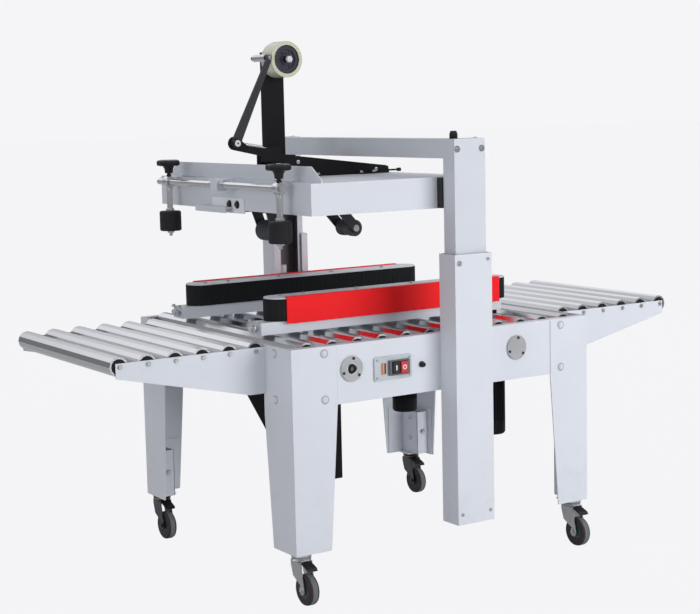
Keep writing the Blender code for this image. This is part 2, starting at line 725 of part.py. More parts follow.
# --- Switches ------------------------------------------------------------------------------------
def switch_box():
    """The switch plate on the front panel, with the lamp's lens and the frame around the two buttons."""
    face = box(
        (SWITCH_X - SWITCH_WIDTH / 2, -SIDE_Y - GAP, SWITCH_Z - SWITCH_HEIGHT / 2),
        (SWITCH_X + SWITCH_WIDTH / 2, SWITCH_FACE_Y, SWITCH_Z + SWITCH_HEIGHT / 2),
    )
    lamp = box(
        (LAMP_X - LAMP_WIDTH / 2, SWITCH_FACE_Y + WELD, SWITCH_Z - LAMP_HEIGHT / 2),
        (LAMP_X + LAMP_WIDTH / 2, SWITCH_FACE_Y - LAMP_DEPTH, SWITCH_Z + LAMP_HEIGHT / 2),
    )
    bezel = box(
        (BEZEL_X - BEZEL_WIDTH / 2, SWITCH_FACE_Y + WELD, SWITCH_Z - BEZEL_HEIGHT / 2),
        (BEZEL_X + BEZEL_WIDTH / 2, BEZEL_FACE_Y, SWITCH_Z + BEZEL_HEIGHT / 2),
    )
    half_width = (BUTTON_SPACING + BUTTON_WIDTH) / 2 + RUNNING
    half_height = BUTTON_HEIGHT / 2 + RUNNING
    pocket = box(
        (BEZEL_X - half_width, SWITCH_FACE_Y, SWITCH_Z - half_height),
        (BEZEL_X + half_width, BEZEL_FACE_Y - BEZEL_DEPTH, SWITCH_Z + half_height),
    )
    return cut(fuse(face, lamp, bezel), pocket)


def button(x):
    """A push button standing out of the frame by its travel."""
    front = BEZEL_FACE_Y - BUTTON_TRAVEL
    return box(
        (x - BUTTON_WIDTH / 2, front, SWITCH_Z - BUTTON_HEIGHT / 2),
        (x + BUTTON_WIDTH / 2, front + BUTTON_DEPTH, SWITCH_Z + BUTTON_HEIGHT / 2),
    )


# --- Side belt units --------------------------------------------------------------------------------
def width_screw():
    """The screw across the bed that sets both belt units, with a socket for its crank in the front flange."""
    head_end = -STRIP_Y - RUNNING
    profile = [
        (0.0, -SIDE_Y - FLANGE_HEIGHT),
        (CRANK_HEAD_RADIUS, -SIDE_Y - FLANGE_HEIGHT),
        (CRANK_HEAD_RADIUS, head_end),
        (WIDTH_SHAFT_RADIUS, head_end),
        (WIDTH_SHAFT_RADIUS, STRIP_Y - WELD),
        (0.0, STRIP_Y - WELD),
    ]
    screw = turned(profile, (WIDTH_SCREW_X, 0, WIDTH_SHAFT_Z), "Y", sides=12)
    socket_end = -SIDE_Y - FLANGE_HEIGHT + CRANK_SOCKET_DEPTH
    return cut(screw, bar(
        (WIDTH_SCREW_X, -SIDE_Y - 2 * FLANGE_HEIGHT, WIDTH_SHAFT_Z), (WIDTH_SCREW_X, socket_end, WIDTH_SHAFT_Z),
        CRANK_SOCKET_RADIUS, sides=6,
    ))


def belt_loop(side, radius):
    """The outline of a loop round the two pulleys of one unit."""
    return link((INFEED_PULLEY_X, side * BELT_Y), (OUTFEED_PULLEY_X, side * BELT_Y), radius, radius, steps=8)


def belt_carriage(side):
    """A belt unit's rail, the core its belt runs round, its top plate and its two hanging nuts."""
    centre_y = side * BELT_Y
    infeed_end = INFEED_PULLEY_X - BELT_HALF_WIDTH - RAIL_INFEED_REACH
    outfeed_end = OUTFEED_PULLEY_X + BELT_HALF_WIDTH + RAIL_OUTFEED_REACH
    carriage = box(
        (infeed_end, centre_y - RAIL_HALF_WIDTH, RAIL_BOTTOM), (outfeed_end, centre_y + RAIL_HALF_WIDTH, RAIL_TOP),
    )
    core_radius = BELT_HALF_WIDTH - BELT_THICKNESS - GAP
    fuse(carriage, prism(belt_loop(side, core_radius), "Z", RAIL_TOP - WELD, TOP_PLATE_Z + WELD))
    fuse(carriage, prism(
        belt_loop(side, BELT_HALF_WIDTH - WELD), "Z", TOP_PLATE_Z, TOP_PLATE_Z + TOP_PLATE,
    ))
    screw_z = (RAIL_BOTTOM + RAIL_TOP) / 2
    fuse(carriage, bar(
        (infeed_end - TENSION_SCREW_LENGTH, centre_y, screw_z), (infeed_end + WELD, centre_y, screw_z),
        TENSION_SCREW_RADIUS, sides=12,
    ))
    nut_top = ROLLER_AXIS_Z - ROLLER_RADIUS - 2 * SLIDING
    for x in (WIDTH_SCREW_X, GUIDE_SHAFT_X):
        hanger = box(
            (x - HANGER_WIDTH / 2, centre_y - NUT_DEPTH / 2 + WELD, nut_top - WELD),
            (x + HANGER_WIDTH / 2, centre_y + NUT_DEPTH / 2 - WELD, RAIL_BOTTOM + WELD),
        )
        fuse(carriage, hanger, box(
            (x - NUT_WIDTH / 2, centre_y - NUT_DEPTH / 2, NUT_BOTTOM),
            (x + NUT_WIDTH / 2, centre_y + NUT_DEPTH / 2, nut_top),
        ))
        cut(carriage, rod(
            (x, centre_y, WIDTH_SHAFT_Z), "Y", WIDTH_SHAFT_RADIUS + RUNNING, 2 * NUT_DEPTH, sides=12,
        ))
    return carriage


def belt(side):
    """The drive belt, a flat loop on edge around the core of its unit."""
    top = BELT_BOTTOM + BELT_HEIGHT
    ring = prism(belt_loop(side, BELT_HALF_WIDTH), "Z", BELT_BOTTOM, top)
    return cut(ring, prism(
        belt_loop(side, BELT_HALF_WIDTH - BELT_THICKNESS), "Z", BELT_BOTTOM - BELT_HEIGHT, top + BELT_HEIGHT,
    ))


def belt_cover(side):
    """The guard over the outer run of a belt, folded over the top plate."""
    inner = BELT_Y + BELT_HALF_WIDTH + RUNNING
    outer = inner + COVER_SHEET
    bottom = BELT_BOTTOM - COVER_SKIRT
    outline = [
        (side * outer, bottom),
        (side * outer, COVER_TOP),
        (side * (outer - COVER_LIP), COVER_TOP),
        (side * (outer - COVER_LIP), COVER_TOP - COVER_SHEET),
        (side * inner, COVER_TOP - COVER_SHEET),
        (side * inner, bottom),
    ]
    return prism(outline, "X", INFEED_PULLEY_X, OUTFEED_PULLEY_X)


def drive_motor(side):
    """A gear motor under the rollers, hung from its belt unit by a neck between two rollers."""
    centre_y = side * BELT_Y
    gearbox_bottom = MOTOR_TOP - GEARBOX_HEIGHT
    motor = box(
        (MOTOR_X - GEARBOX_WIDTH / 2, centre_y - GEARBOX_DEPTH / 2, gearbox_bottom),
        (MOTOR_X + GEARBOX_WIDTH / 2, centre_y + GEARBOX_DEPTH / 2, MOTOR_TOP),
    )
    fuse(motor, bar(
        (MOTOR_X, centre_y, MOTOR_BOTTOM), (MOTOR_X, centre_y, gearbox_bottom + WELD), MOTOR_RADIUS, sides=20,
    ))
    return fuse(motor, box(
        (MOTOR_X - MOTOR_NECK / 2, centre_y - GEARBOX_DEPTH / 4, MOTOR_TOP - WELD),
        (MOTOR_X + MOTOR_NECK / 2, centre_y + GEARBOX_DEPTH / 4, RAIL_BOTTOM - GAP),
    ))


# --- Head ------------------------------------------------------------------------------------------
def head_slider(side):
    """A wear pad against the column's lips, with a tongue between them into the column."""
    left, right = COLUMN_X - INNER_WIDTH / 2, COLUMN_X + INNER_WIDTH / 2
    pad = box(
        (left - SLIDER_OVERHANG, HEAD_HALF_WIDTH - WELD, HEAD_BOTTOM + WELD),
        (right + SLIDER_OVERHANG, INNER_INNER_Y - RUNNING, HEAD_TOP - WELD),
    )
    tongue = box(
        (left + INNER_LIP + SLIDING, INNER_INNER_Y - SLIDING, HEAD_BOTTOM + SLIDING),
        (right - INNER_LIP - SLIDING, INNER_INNER_Y + TONGUE_DEPTH, HEAD_TOP - SLIDING),
    )
    return mirrored(fuse(pad, tongue), y=side)


def head_frame():
    """The tray that carries the taping head between the columns, open below, with its band and brackets."""
    frame = box(
        (HEAD_INFEED_X, -HEAD_HALF_WIDTH, HEAD_BOTTOM), (HEAD_OUTFEED_X, HEAD_HALF_WIDTH, HEAD_TOP),
    )
    cut(frame, box(
        (HEAD_INFEED_X + SHEET, -HEAD_HALF_WIDTH + SHEET, HEAD_BOTTOM - SHEET),
        (HEAD_OUTFEED_X - SHEET, HEAD_HALF_WIDTH - SHEET, HEAD_TOP - SHEET),
    ))
    cut(frame, box(
        (SLOT_INFEED_X, -SLOT_HALF_WIDTH, HEAD_TOP - 2 * SHEET), (SLOT_OUTFEED_X, SLOT_HALF_WIDTH, HEAD_TOP + SHEET),
    ))
    band_end = HEAD_HALF_WIDTH - WELD
    band = [
        (-band_end, HEAD_TOP - WELD),
        (-band_end, BAND_SHOULDER),
        (-HEAD_HALF_WIDTH + BAND_SLOPE, BAND_TOP),
        (HEAD_HALF_WIDTH - BAND_SLOPE, BAND_TOP),
        (band_end, BAND_SHOULDER),
        (band_end, HEAD_TOP - WELD),
    ]
    fuse(frame, prism(band, "X", BAND_X - SHEET / 2, BAND_X + SHEET / 2))
    guide_x = HEAD_INFEED_X - SHEET
    fuse(frame, box((guide_x, GUIDE_Y[0], GUIDE_BOTTOM), (HEAD_INFEED_X + WELD, GUIDE_Y[1], GUIDE_TOP)))
    shelf_z = GUIDE_BOTTOM + SHELF_LIP
    shelf_x = HEAD_INFEED_X - SHELF_REACH
    shelf = [
        (guide_x + WELD, shelf_z),
        (shelf_x, shelf_z),
        (shelf_x, GUIDE_BOTTOM + WELD),
        (shelf_x + SHEET, GUIDE_BOTTOM + WELD),
        (shelf_x + SHEET, shelf_z - SHEET),
        (guide_x + WELD, shelf_z - SHEET),
    ]
    fuse(frame, prism(shelf, "Y", *SHELF_Y))
    bracket_start = COLLAR_Y[0] + COLLAR_WIDTH / 2 + GAP
    bracket_end = COLLAR_Y[1] - COLLAR_WIDTH / 2 - GAP
    fuse(frame, box(
        (TUBE_X - TUBE_BRACKET_REACH, bracket_start, TUBE_Z - TUBE_BRACKET_REACH),
        (HEAD_INFEED_X + WELD, bracket_end, TUBE_Z + TUBE_BRACKET_REACH),
    ))
    cut(frame, rod((TUBE_X, bracket_start, TUBE_Z), "Y", TUBE_RADIUS + GAP, COLLAR_Y[1] - COLLAR_Y[0] + 0.1))
    return fuse(frame, head_slider(FRONT), head_slider(REAR))


# --- Presser ---------------------------------------------------------------------------------------
def presser_tube():
    """The bright tube across the infeed end of the head, with a collar on each side of its bracket."""
    profile = [(0.0, -TUBE_HALF_LENGTH), (TUBE_RADIUS, -TUBE_HALF_LENGTH)]
    for y in COLLAR_Y:
        start, end = y - COLLAR_WIDTH / 2, y + COLLAR_WIDTH / 2
        profile += [(TUBE_RADIUS, start), (COLLAR_RADIUS, start), (COLLAR_RADIUS, end), (TUBE_RADIUS, end)]
    profile += [(TUBE_RADIUS, TUBE_HALF_LENGTH), (0.0, TUBE_HALF_LENGTH)]
    return turned(profile, (TUBE_X, 0, TUBE_Z), "Y", sides=16)


def presser_slider():
    """An eye that slides on the tube, with the roller's rod below it and the clamping knob above."""
    eye = turned(
        [
            (EYE_BORE, -EYE_HALF_WIDTH),
            (EYE_RADIUS, -EYE_HALF_WIDTH),
            (EYE_RADIUS, EYE_HALF_WIDTH),
            (EYE_BORE, EYE_HALF_WIDTH),
        ],
        (0, 0, TUBE_Z), "Y", sides=16,
    )
    fuse(eye, bar((0, 0, PRESSER_BOTTOM - WELD), (0, 0, TUBE_Z - EYE_BORE - WELD), ROD_RADIUS, sides=12))
    for start in (PRESSER_TOP + GAP, PRESSER_BOTTOM - GAP - ROD_COLLAR_HEIGHT):
        fuse(eye, bar((0, 0, start), (0, 0, start + ROD_COLLAR_HEIGHT), ROD_COLLAR_RADIUS, sides=12))
    fuse(eye, bar((0, 0, TUBE_Z + EYE_BORE + WELD), (0, 0, KNOB_NECK_BOTTOM + WELD), STUD_RADIUS, sides=12))
    knob = turned(
        [
            (0.0, KNOB_NECK_BOTTOM),
            (KNOB_RADIUS / 3, KNOB_NECK_BOTTOM),
            (KNOB_RADIUS / 2, KNOB_DISC_BOTTOM),
            (KNOB_RADIUS, KNOB_DISC_BOTTOM + SHEET),
            (KNOB_RADIUS, KNOB_TOP - SHEET),
            (KNOB_RADIUS - SHEET, KNOB_TOP),
            (0.0, KNOB_TOP),
        ],
        (0, 0, 0), "Z", sides=20,
    )
    return fuse(eye, knob)


def presser_roller():
    """A rubber roller that turns freely on its rod and keeps the carton's flaps down."""
    bore = ROD_RADIUS + RUNNING
    half = PRESSER_HEIGHT / 2
    profile = [(bore, -half), (PRESSER_RADIUS, -half), (PRESSER_RADIUS, half), (bore, half)]
    return turned(profile, (0, 0, 0), "Z", sides=24)


# --- Taping heads -------------------------------------------------------------------------------------
def ties(places, half_length):
    """Round ties across a head between its cheeks, at the given (x, z) places."""
    return [bar((x, -half_length, z), (x, half_length, z), TIE_RADIUS, sides=12) for x, z in places]


def upper_tape_head():
    """The upper taping head's frame, its roll bar with the spindle, and the tension arm's ear."""
    outline = [
        (CHEEK_INFEED_X, CHEEK_BOTTOM),
        (-0.020, CHEEK_BOTTOM),
        (0.066, 1.036),
        (CHEEK_OUTFEED_X, 1.052),
        (CHEEK_OUTFEED_X - SHEET, CHEEK_TIP_TOP - SHEET),
        (CHEEK_OUTFEED_X - 4 * SHEET, CHEEK_TIP_TOP),
        (BAR_X[0], CHEEK_TOP),
        (CHEEK_SHOULDER_X, CHEEK_TOP),
        (CHEEK_SHOULDER_X, HEAD_TOP),
        (CHEEK_INFEED_X, APPLY_PIVOT[1] + 4 * PIVOT_RADIUS),
    ]
    near, far = [
        prism(outline, "Y", side * (CHEEK_Y - CHEEK_SHEET), side * CHEEK_Y) for side in (FRONT, REAR)
    ]
    head = fuse(near, far, *ties([(-0.215, 1.090), (0.037, 1.061), (-0.150, 1.060)], CHEEK_Y - WELD))
    for x, z in (APPLY_PIVOT, WIPE_PIVOT):
        fuse(head, bar((x, -CHEEK_Y - WELD, z), (x, CHEEK_Y + WELD, z), PIVOT_RADIUS, sides=12))
    for side in (FRONT, REAR):
        for x in (-0.180, 0.000):
            fuse(head, box(
                (x - FOOT_WIDTH / 2, side * (CHEEK_Y - WELD), HEAD_TOP + GAP),
                (x + FOOT_WIDTH / 2, side * (SLOT_HALF_WIDTH + 4 * SHEET), HEAD_TOP + GAP + CHEEK_SHEET),
            ))
    fuse(head, roll_bar(BAR_X, BAR_BOTTOM, BAR_TOP))
    roll_x, roll_z = ROLL_CENTRE
    fuse(head, bar((roll_x, SPINDLE_END_Y, roll_z), (roll_x, BAR_Y[0] + WELD, roll_z), SPINDLE_RADIUS, sides=12))
    ear = [(BAR_X[0], CHEEK_TOP - EAR_RADIUS), (EAR_NOTCH[0], CHEEK_TOP - EAR_RADIUS), EAR_NOTCH]
    ear += arc(TENSION_PIVOT, EAR_RADIUS, math.radians(265), math.radians(60), steps=8)
    ear += [(-0.372, 1.138), (EAR_NOTCH[0], EAR_TOP), (BAR_X[0], EAR_TOP)]
    fuse(head, prism(ear, "Y", -EAR_OUTER_Y, -CHEEK_Y + CHEEK_SHEET))
    pin_x, pin_z = TENSION_PIVOT
    arm_outer = EAR_OUTER_Y + TENSION_ARM_SHEET + 2 * RUNNING
    fuse(head, bar((pin_x, -EAR_OUTER_Y + WELD, pin_z), (pin_x, -arm_outer - WELD, pin_z), PIVOT_RADIUS, sides=12))
    fuse(head, bar(
        (pin_x, -arm_outer, pin_z), (pin_x, -arm_outer - PIN_HEAD_WIDTH, pin_z), PIN_HEAD_RADIUS, sides=16,
    ))
    rod_z = HEAD_TOP + SLIDING + ROD_END_RADIUS
    rod_y = -CHEEK_Y + CHEEK_SHEET / 2
    fuse(head, bar(
        (CHEEK_OUTFEED_X - 3 * SHEET, rod_y, rod_z), (ROD_END_X - WELD, rod_y, rod_z), ROD_END_RADIUS / 2, sides=8,
    ))
    return fuse(head, bar(
        (ROD_END_X - 2 * ROD_END_RADIUS, rod_y, rod_z), (ROD_END_X, rod_y, rod_z), ROD_END_RADIUS, sides=12,
    ))


def roll_bar(span, bottom, top):
    """An upright channel that holds a tape roll's spindle, its web toward the roll."""
    web_y, back_y = BAR_Y
    outline = [
        (span[0], web_y),
        (span[1], web_y),
        (span[1], back_y),
        (span[1] - SHEET, back_y),
        (span[1] - SHEET, web_y + SHEET),
        (span[0] + SHEET, web_y + SHEET),
        (span[0] + SHEET, back_y),
        (span[0], back_y),
    ]
    return prism(outline, "Z", bottom, top)


def tape_roll():
    """A roll of tape on its hub, bored for the spindle."""
    bore = SPINDLE_RADIUS + RUNNING
    side = [
        (bore, HUB_HALF_WIDTH),
        (ROLL_CORE_RADIUS, HUB_HALF_WIDTH),
        (ROLL_CORE_RADIUS, ROLL_HALF_WIDTH),
        (ROLL_RADIUS, ROLL_HALF_WIDTH),
    ]
    profile = side + [(radius, -height) for radius, height in reversed(side)]
    return turned(profile, (0, 0, 0), "Y", sides=32)


def tension_arm():
    """The arm that keeps the tape tight, with its guide roller across the top of the roll."""
    inner_y = -EAR_OUTER_Y - RUNNING
    outer_y = inner_y - TENSION_ARM_SHEET
    outline = link(TENSION_PIVOT, TENSION_TOP, TENSION_ROOT_RADIUS, TENSION_END_RADIUS)
    arm = prism(outline, "Y", outer_y, inner_y)
    pin_x, pin_z = TENSION_PIVOT
    cut(arm, rod((pin_x, inner_y, pin_z), "Y", PIVOT_RADIUS + RUNNING, 0.1, sides=12))
    x, z = TENSION_TOP
    return fuse(arm, bar(
        (x, outer_y - WELD, z), (x, outer_y + TENSION_ROLLER_LENGTH, z), TENSION_ROLLER_RADIUS, sides=12,
    ))


def roller_arm(pivot, roller, radius):
    """Two plates on a pivot in the taping head, with a tape roller between their ends."""
    outline = link(pivot, roller, ARM_END_RADIUS, ARM_END_RADIUS)
    x, z = roller
    arm = bar((x, -TAPE_ROLLER_HALF, z), (x, TAPE_ROLLER_HALF, z), radius, sides=20)
    fuse(arm, bar((x, -ARM_OUTER_Y + WELD, z), (x, ARM_OUTER_Y - WELD, z), TIE_RADIUS, sides=12))
    for side in (FRONT, REAR):
        fuse(arm, prism(outline, "Y", side * (ARM_OUTER_Y - CHEEK_SHEET), side * ARM_OUTER_Y))
    return cut(arm, rod((pivot[0], 0, pivot[1]), "Y", PIVOT_RADIUS + RUNNING, 3 * ARM_OUTER_Y, sides=12))


def lower_tape_head():
    """The taping head between the split rollers, with its rollers, top plate, roll bar and ear."""
    outline = [
        (-LOWER_HALF_LENGTH, LOWER_BOTTOM),
        (-LOWER_HALF_LENGTH, LOWER_TOP),
        (LOWER_HALF_LENGTH, LOWER_TOP),
        (LOWER_HALF_LENGTH, LOWER_SHOULDER),
        (LOWER_WIPE_X / 2, LOWER_BOTTOM),
    ]
    near, far = [
        prism(outline, "Y", side * (LOWER_CHEEK_Y - CHEEK_SHEET), side * LOWER_CHEEK_Y) for side in (FRONT, REAR)
    ]
    reach = LOWER_CHEEK_Y - WELD
    head = fuse(near, far, *ties([(-0.180, 0.450), (0.020, 0.450), (0.180, 0.590)], reach))
    for x, radius in ((LOWER_APPLY_X, APPLY_RADIUS), (LOWER_WIPE_X, WIPE_RADIUS)):
        z = LOWER_TOP - radius
        fuse(head, bar((x, -TAPE_ROLLER_HALF, z), (x, TAPE_ROLLER_HALF, z), radius, sides=20))
        fuse(head, *ties([(x, z)], reach))
    fuse(head, box(
        (LOWER_APPLY_X + APPLY_RADIUS + SHEET, -reach, LOWER_PLATE_Z),
        (LOWER_WIPE_X - WIPE_RADIUS - SHEET, reach, LOWER_PLATE_Z + CHEEK_SHEET),
    ))
    bar_top = LOWER_BOTTOM + EAR_RADIUS
    fuse(head, roll_bar(LOWER_BAR_X, LOWER_BAR_BOTTOM, bar_top))
    fuse(head, box(
        (LOWER_BAR_X[0] + WELD, BAR_Y[0] + WELD, bar_top - 2 * SHEET), (LOWER_BAR_X[1] - WELD, reach, bar_top - SHEET),
    ))
    ear = [
        (-LOWER_HALF_LENGTH + EAR_RADIUS, LOWER_BOTTOM + WELD),
        (LOWER_EAR_TIP[0] + EAR_RADIUS, LOWER_EAR_TIP[1]),
        LOWER_EAR_TIP,
        LOWER_EAR_SHOULDER,
        (-LOWER_HALF_LENGTH + EAR_RADIUS, LOWER_BOTTOM + 3 * EAR_RADIUS),
    ]
    fuse(head, prism(ear, "Y", reach - CHEEK_SHEET + 2 * WELD, reach))
    for side in (FRONT, REAR):
        for x in (-LOWER_HALF_LENGTH / 2, LOWER_HALF_LENGTH / 2):
            fuse(head, box(
                (x - TAB_WIDTH / 2, side * reach, TAB_Z),
                (x + TAB_WIDTH / 2, side * (HEAD_GAP_HALF - STRIP_WALL - GAP), TAB_Z + CHEEK_SHEET),
            ))
    return head


# --- The machine ---------------------------------------------------------------------------------------
def build_frame(paint, bright, plastic):
    """The bed, legs, tables, columns, head and mast."""
    for side, side_name in SIDE_NAMES.items():
        name_piece(side_panel(side), f"side_panel_{side_name}", paint)
        name_piece(column_sleeve(side), f"column_sleeve_{side_name}", paint)
        for end, end_name in END_NAMES.items():
            place = f"{side_name}_{end_name}"
            name_piece(outer_leg(side, end), f"leg_outer_{place}", paint)
            name_piece(inner_leg(side, end), f"leg_inner_{place}", paint)
    name_piece(roller_bed(), "roller_bed", bright, smooth=True)
    for end, end_name in END_NAMES.items():
        name_piece(table_frame(end), f"{end_name}_frame", paint)
    name_piece(mast(), "mast", paint)
    name_piece(head_frame(), "head_frame", paint)
    name_piece(switch_box(), "switch_box", plastic)


def build_rollers(bright):
    """The free rollers of both tables."""
    first = None
    for end, end_name in END_NAMES.items():
        for index in range(TABLE_ROLLERS):
            name = f"{end_name}_roller_{index + 1}"
            place = (end * table_roller_x(index), 0.0, ROLLER_AXIS_Z)
            if first:
                copy_piece(first, name, place)
                continue
            first = name_piece(table_roller(), name, bright, (0.0, 0.0, ROLLER_AXIS_Z), smooth=True)
            first.location = place


def build_casters(bright, rubber):
    """A fork and a wheel under each leg."""
    fork = wheel = None
    for side, side_name in SIDE_NAMES.items():
        for end, end_name in END_NAMES.items():
            place = f"{side_name}_{end_name}"
            stem = (end * CASTER_X, side * CASTER_Y, 0.0)
            axle = (end * CASTER_X, side * CASTER_Y - CASTER_TRAIL, WHEEL_RADIUS)
            if fork:
                copy_piece(fork, f"caster_fork_{place}", stem)
                copy_piece(wheel, f"caster_wheel_{place}", axle)
                continue
            fork = name_piece(caster_fork(), f"caster_fork_{place}", bright, smooth=True)
            fork.location = stem
            wheel = name_piece(caster_wheel(), f"caster_wheel_{place}", rubber, smooth=True)
            wheel.location = axle


def build_belt_units(paint, guard, belting, casting, bright):
    """The two belt units, their motors and the screw that sets them."""
    for side, side_name in SIDE_NAMES.items():
        origin = (BELT_CENTRE_X, side * BELT_Y, BELT_BOTTOM)
        name_piece(belt_carriage(side), f"belt_carriage_{side_name}", paint, origin)
        name_piece(belt(side), f"belt_{side_name}", belting, origin, smooth=True)
        name_piece(belt_cover(side), f"belt_cover_{side_name}", guard, origin)
        motor_origin = (MOTOR_X, side * BELT_Y, MOTOR_TOP)
        name_piece(drive_motor(side), f"drive_motor_{side_name}", casting, motor_origin, smooth=True)
    screw_origin = (WIDTH_SCREW_X, 0.0, WIDTH_SHAFT_Z)
    name_piece(width_screw(), "width_screw", bright, screw_origin, smooth=True)


def build_buttons(green, red):
    """The start and stop buttons in the switch frame."""
    for turn, name, material in ((-1, "start_button", green), (1, "stop_button", red)):
        x = BEZEL_X + turn * BUTTON_SPACING / 2
        name_piece(button(x), name, material, (x, BEZEL_FACE_Y, SWITCH_Z))


def build_presser(bright, rubber):
    """The presser tube, and a slider with its roller on each side."""
    name_piece(presser_tube(), "presser_tube", bright, (TUBE_X, 0.0, TUBE_Z), smooth=True)
    slider = name_piece(presser_slider(), "presser_slider_front", bright, smooth=True)
    slider.location = (TUBE_X, PRESSER_Y[FRONT], 0.0)
    copy_piece(slider, "presser_slider_rear", (TUBE_X, PRESSER_Y[REAR], 0.0))
    roller = name_piece(presser_roller(), "presser_roller_front", rubber, smooth=True)
    roller_z = PRESSER_TOP - PRESSER_HEIGHT / 2
    roller.location = (TUBE_X, PRESSER_Y[FRONT], roller_z)
    copy_piece(roller, "presser_roller_rear", (TUBE_X, PRESSER_Y[REAR], roller_z))


def build_tape_heads(black, tape, rubber):
    """Both taping heads, the tape roll and the arms that move."""
    name_piece(upper_tape_head(), "upper_tape_head", black)
    name_piece(lower_tape_head(), "lower_tape_head", black)
    roll = name_piece(tape_roll(), "tape_roll", tape, smooth=True)
    roll.location = (ROLL_CENTRE[0], 0.0, ROLL_CENTRE[1])
    name_piece(tension_arm(), "tension_arm", black, (TENSION_PIVOT[0], 0.0, TENSION_PIVOT[1]))
    arms = (
        ("applying_arm", APPLY_PIVOT, APPLY_ROLLER, APPLY_RADIUS),
        ("wiping_arm", WIPE_PIVOT, WIPE_ROLLER, WIPE_RADIUS),
    )
    for name, pivot, roller, radius in arms:
        name_piece(roller_arm(pivot, roller, radius), name, rubber, (pivot[0], 0.0, pivot[1]), smooth=True)


def build():
    """Clear the scene and build every piece with its finish."""
    for item in list(bpy.data.objects):
        bpy.data.objects.remove(item)
    paint = finish("white_paint", (0.66, 0.69, 0.75), 0.42)
    bright = finish("zinc_plate", (0.62, 0.63, 0.66), 0.28, 1.0)
    rubber = finish("black_rubber", (0.020, 0.021, 0.026), 0.75)
    build_frame(paint, bright, finish("grey_plastic", (0.55, 0.56, 0.58), 0.5))
    build_rollers(bright)
    build_casters(bright, rubber)
    build_belt_units(
        paint,
        finish("red_paint", (0.74, 0.026, 0.030), 0.35),
        finish("black_belting", (0.018, 0.020, 0.021), 0.8),
        finish("black_casting", (0.030, 0.031, 0.034), 0.5),
        bright,
    )
    build_buttons(finish("black_button", (0.02, 0.02, 0.02), 0.4), finish("red_button", (0.60, 0.02, 0.03), 0.4))
    build_presser(bright, rubber)
    build_tape_heads(
        finish("black_paint", (0.014, 0.014, 0.017), 0.45), finish("tape", (0.62, 0.64, 0.48), 0.25), rubber,
    )


build()
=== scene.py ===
"""Visual model of a free-standing carton sealer: finishes, fittings, stage, lamps and camera.

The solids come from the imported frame. They get procedural finishes, and the pieces that carry several
materials or finer shapes are built here in their place.
"""

import logging
import math
from dataclasses import dataclass, field, replace
from enum import Enum

import bmesh
import bpy
from mathutils import Matrix, Vector


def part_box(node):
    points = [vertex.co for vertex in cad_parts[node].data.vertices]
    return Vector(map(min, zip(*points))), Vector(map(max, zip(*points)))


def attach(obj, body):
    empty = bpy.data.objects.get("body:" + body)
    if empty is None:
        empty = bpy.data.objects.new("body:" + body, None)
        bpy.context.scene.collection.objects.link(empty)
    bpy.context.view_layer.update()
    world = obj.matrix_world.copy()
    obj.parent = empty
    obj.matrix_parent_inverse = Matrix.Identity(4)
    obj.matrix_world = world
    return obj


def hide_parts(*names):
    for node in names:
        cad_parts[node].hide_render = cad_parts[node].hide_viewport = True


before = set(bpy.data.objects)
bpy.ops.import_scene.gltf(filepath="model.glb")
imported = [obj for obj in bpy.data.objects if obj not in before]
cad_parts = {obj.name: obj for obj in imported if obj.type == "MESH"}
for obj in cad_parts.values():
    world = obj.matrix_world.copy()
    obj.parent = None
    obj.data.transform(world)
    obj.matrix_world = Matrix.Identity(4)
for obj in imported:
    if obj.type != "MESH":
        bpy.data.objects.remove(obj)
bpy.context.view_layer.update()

log = logging.getLogger("carton_sealer")

Point = tuple[float, float, float]
Pair = tuple[float, float]
Colour = tuple[float, float, float]
Stops = tuple[tuple[float, Colour], ...]

SMOOTH_ANGLE = math.radians(35)
EVEN: Point = (1.0, 1.0, 1.0)


class Way(Enum):
    """The directions that fittings point in."""

    X = (1.0, 0.0, 0.0)
    BACK_X = (-1.0, 0.0, 0.0)
    Y = (0.0, 1.0, 0.0)
    BACK_Y = (0.0, -1.0, 0.0)
    Z = (0.0, 0.0, 1.0)


class Side(Enum):
    """The two long sides of the machine."""

    FRONT = "front"
    REAR = "rear"

    @property
    def sign(self) -> int:
        """The sign of Y on this side."""
        return -1 if self is Side.FRONT else 1

    @property
    def outward(self) -> Way:
        """The direction away from the machine's middle."""
        return Way.BACK_Y if self is Side.FRONT else Way.Y

    @property
    def inward(self) -> Way:
        """The direction to the machine's middle."""
        return Way.Y if self is Side.FRONT else Way.BACK_Y


class End(Enum):
    """The two ends the cartons pass."""

    INFEED = "infeed"
    OUTFEED = "outfeed"

    @property
    def sign(self) -> int:
        """The sign of X at this end."""
        return -1 if self is End.INFEED else 1

    @property
    def outward(self) -> Way:
        """The direction away from the machine's middle."""
        return Way.BACK_X if self is End.INFEED else Way.X

    @property
    def inward(self) -> Way:
        """The direction to the machine's middle."""
        return Way.X if self is End.INFEED else Way.BACK_X


class Slot(Enum):
    """The material slots that the pieces here are noted with."""

    WHITE = "white_paint"
    ZINC = "zinc_plate"
    CHROME = "chrome"
    BLACK = "black_paint"
    BELT = "belting"
    RUBBER = "black_rubber"
    TYRE = "wheel_rubber"
    GREY = "grey_plastic"
    SIGNAL = "red_plastic"
    TAPE = "tape"


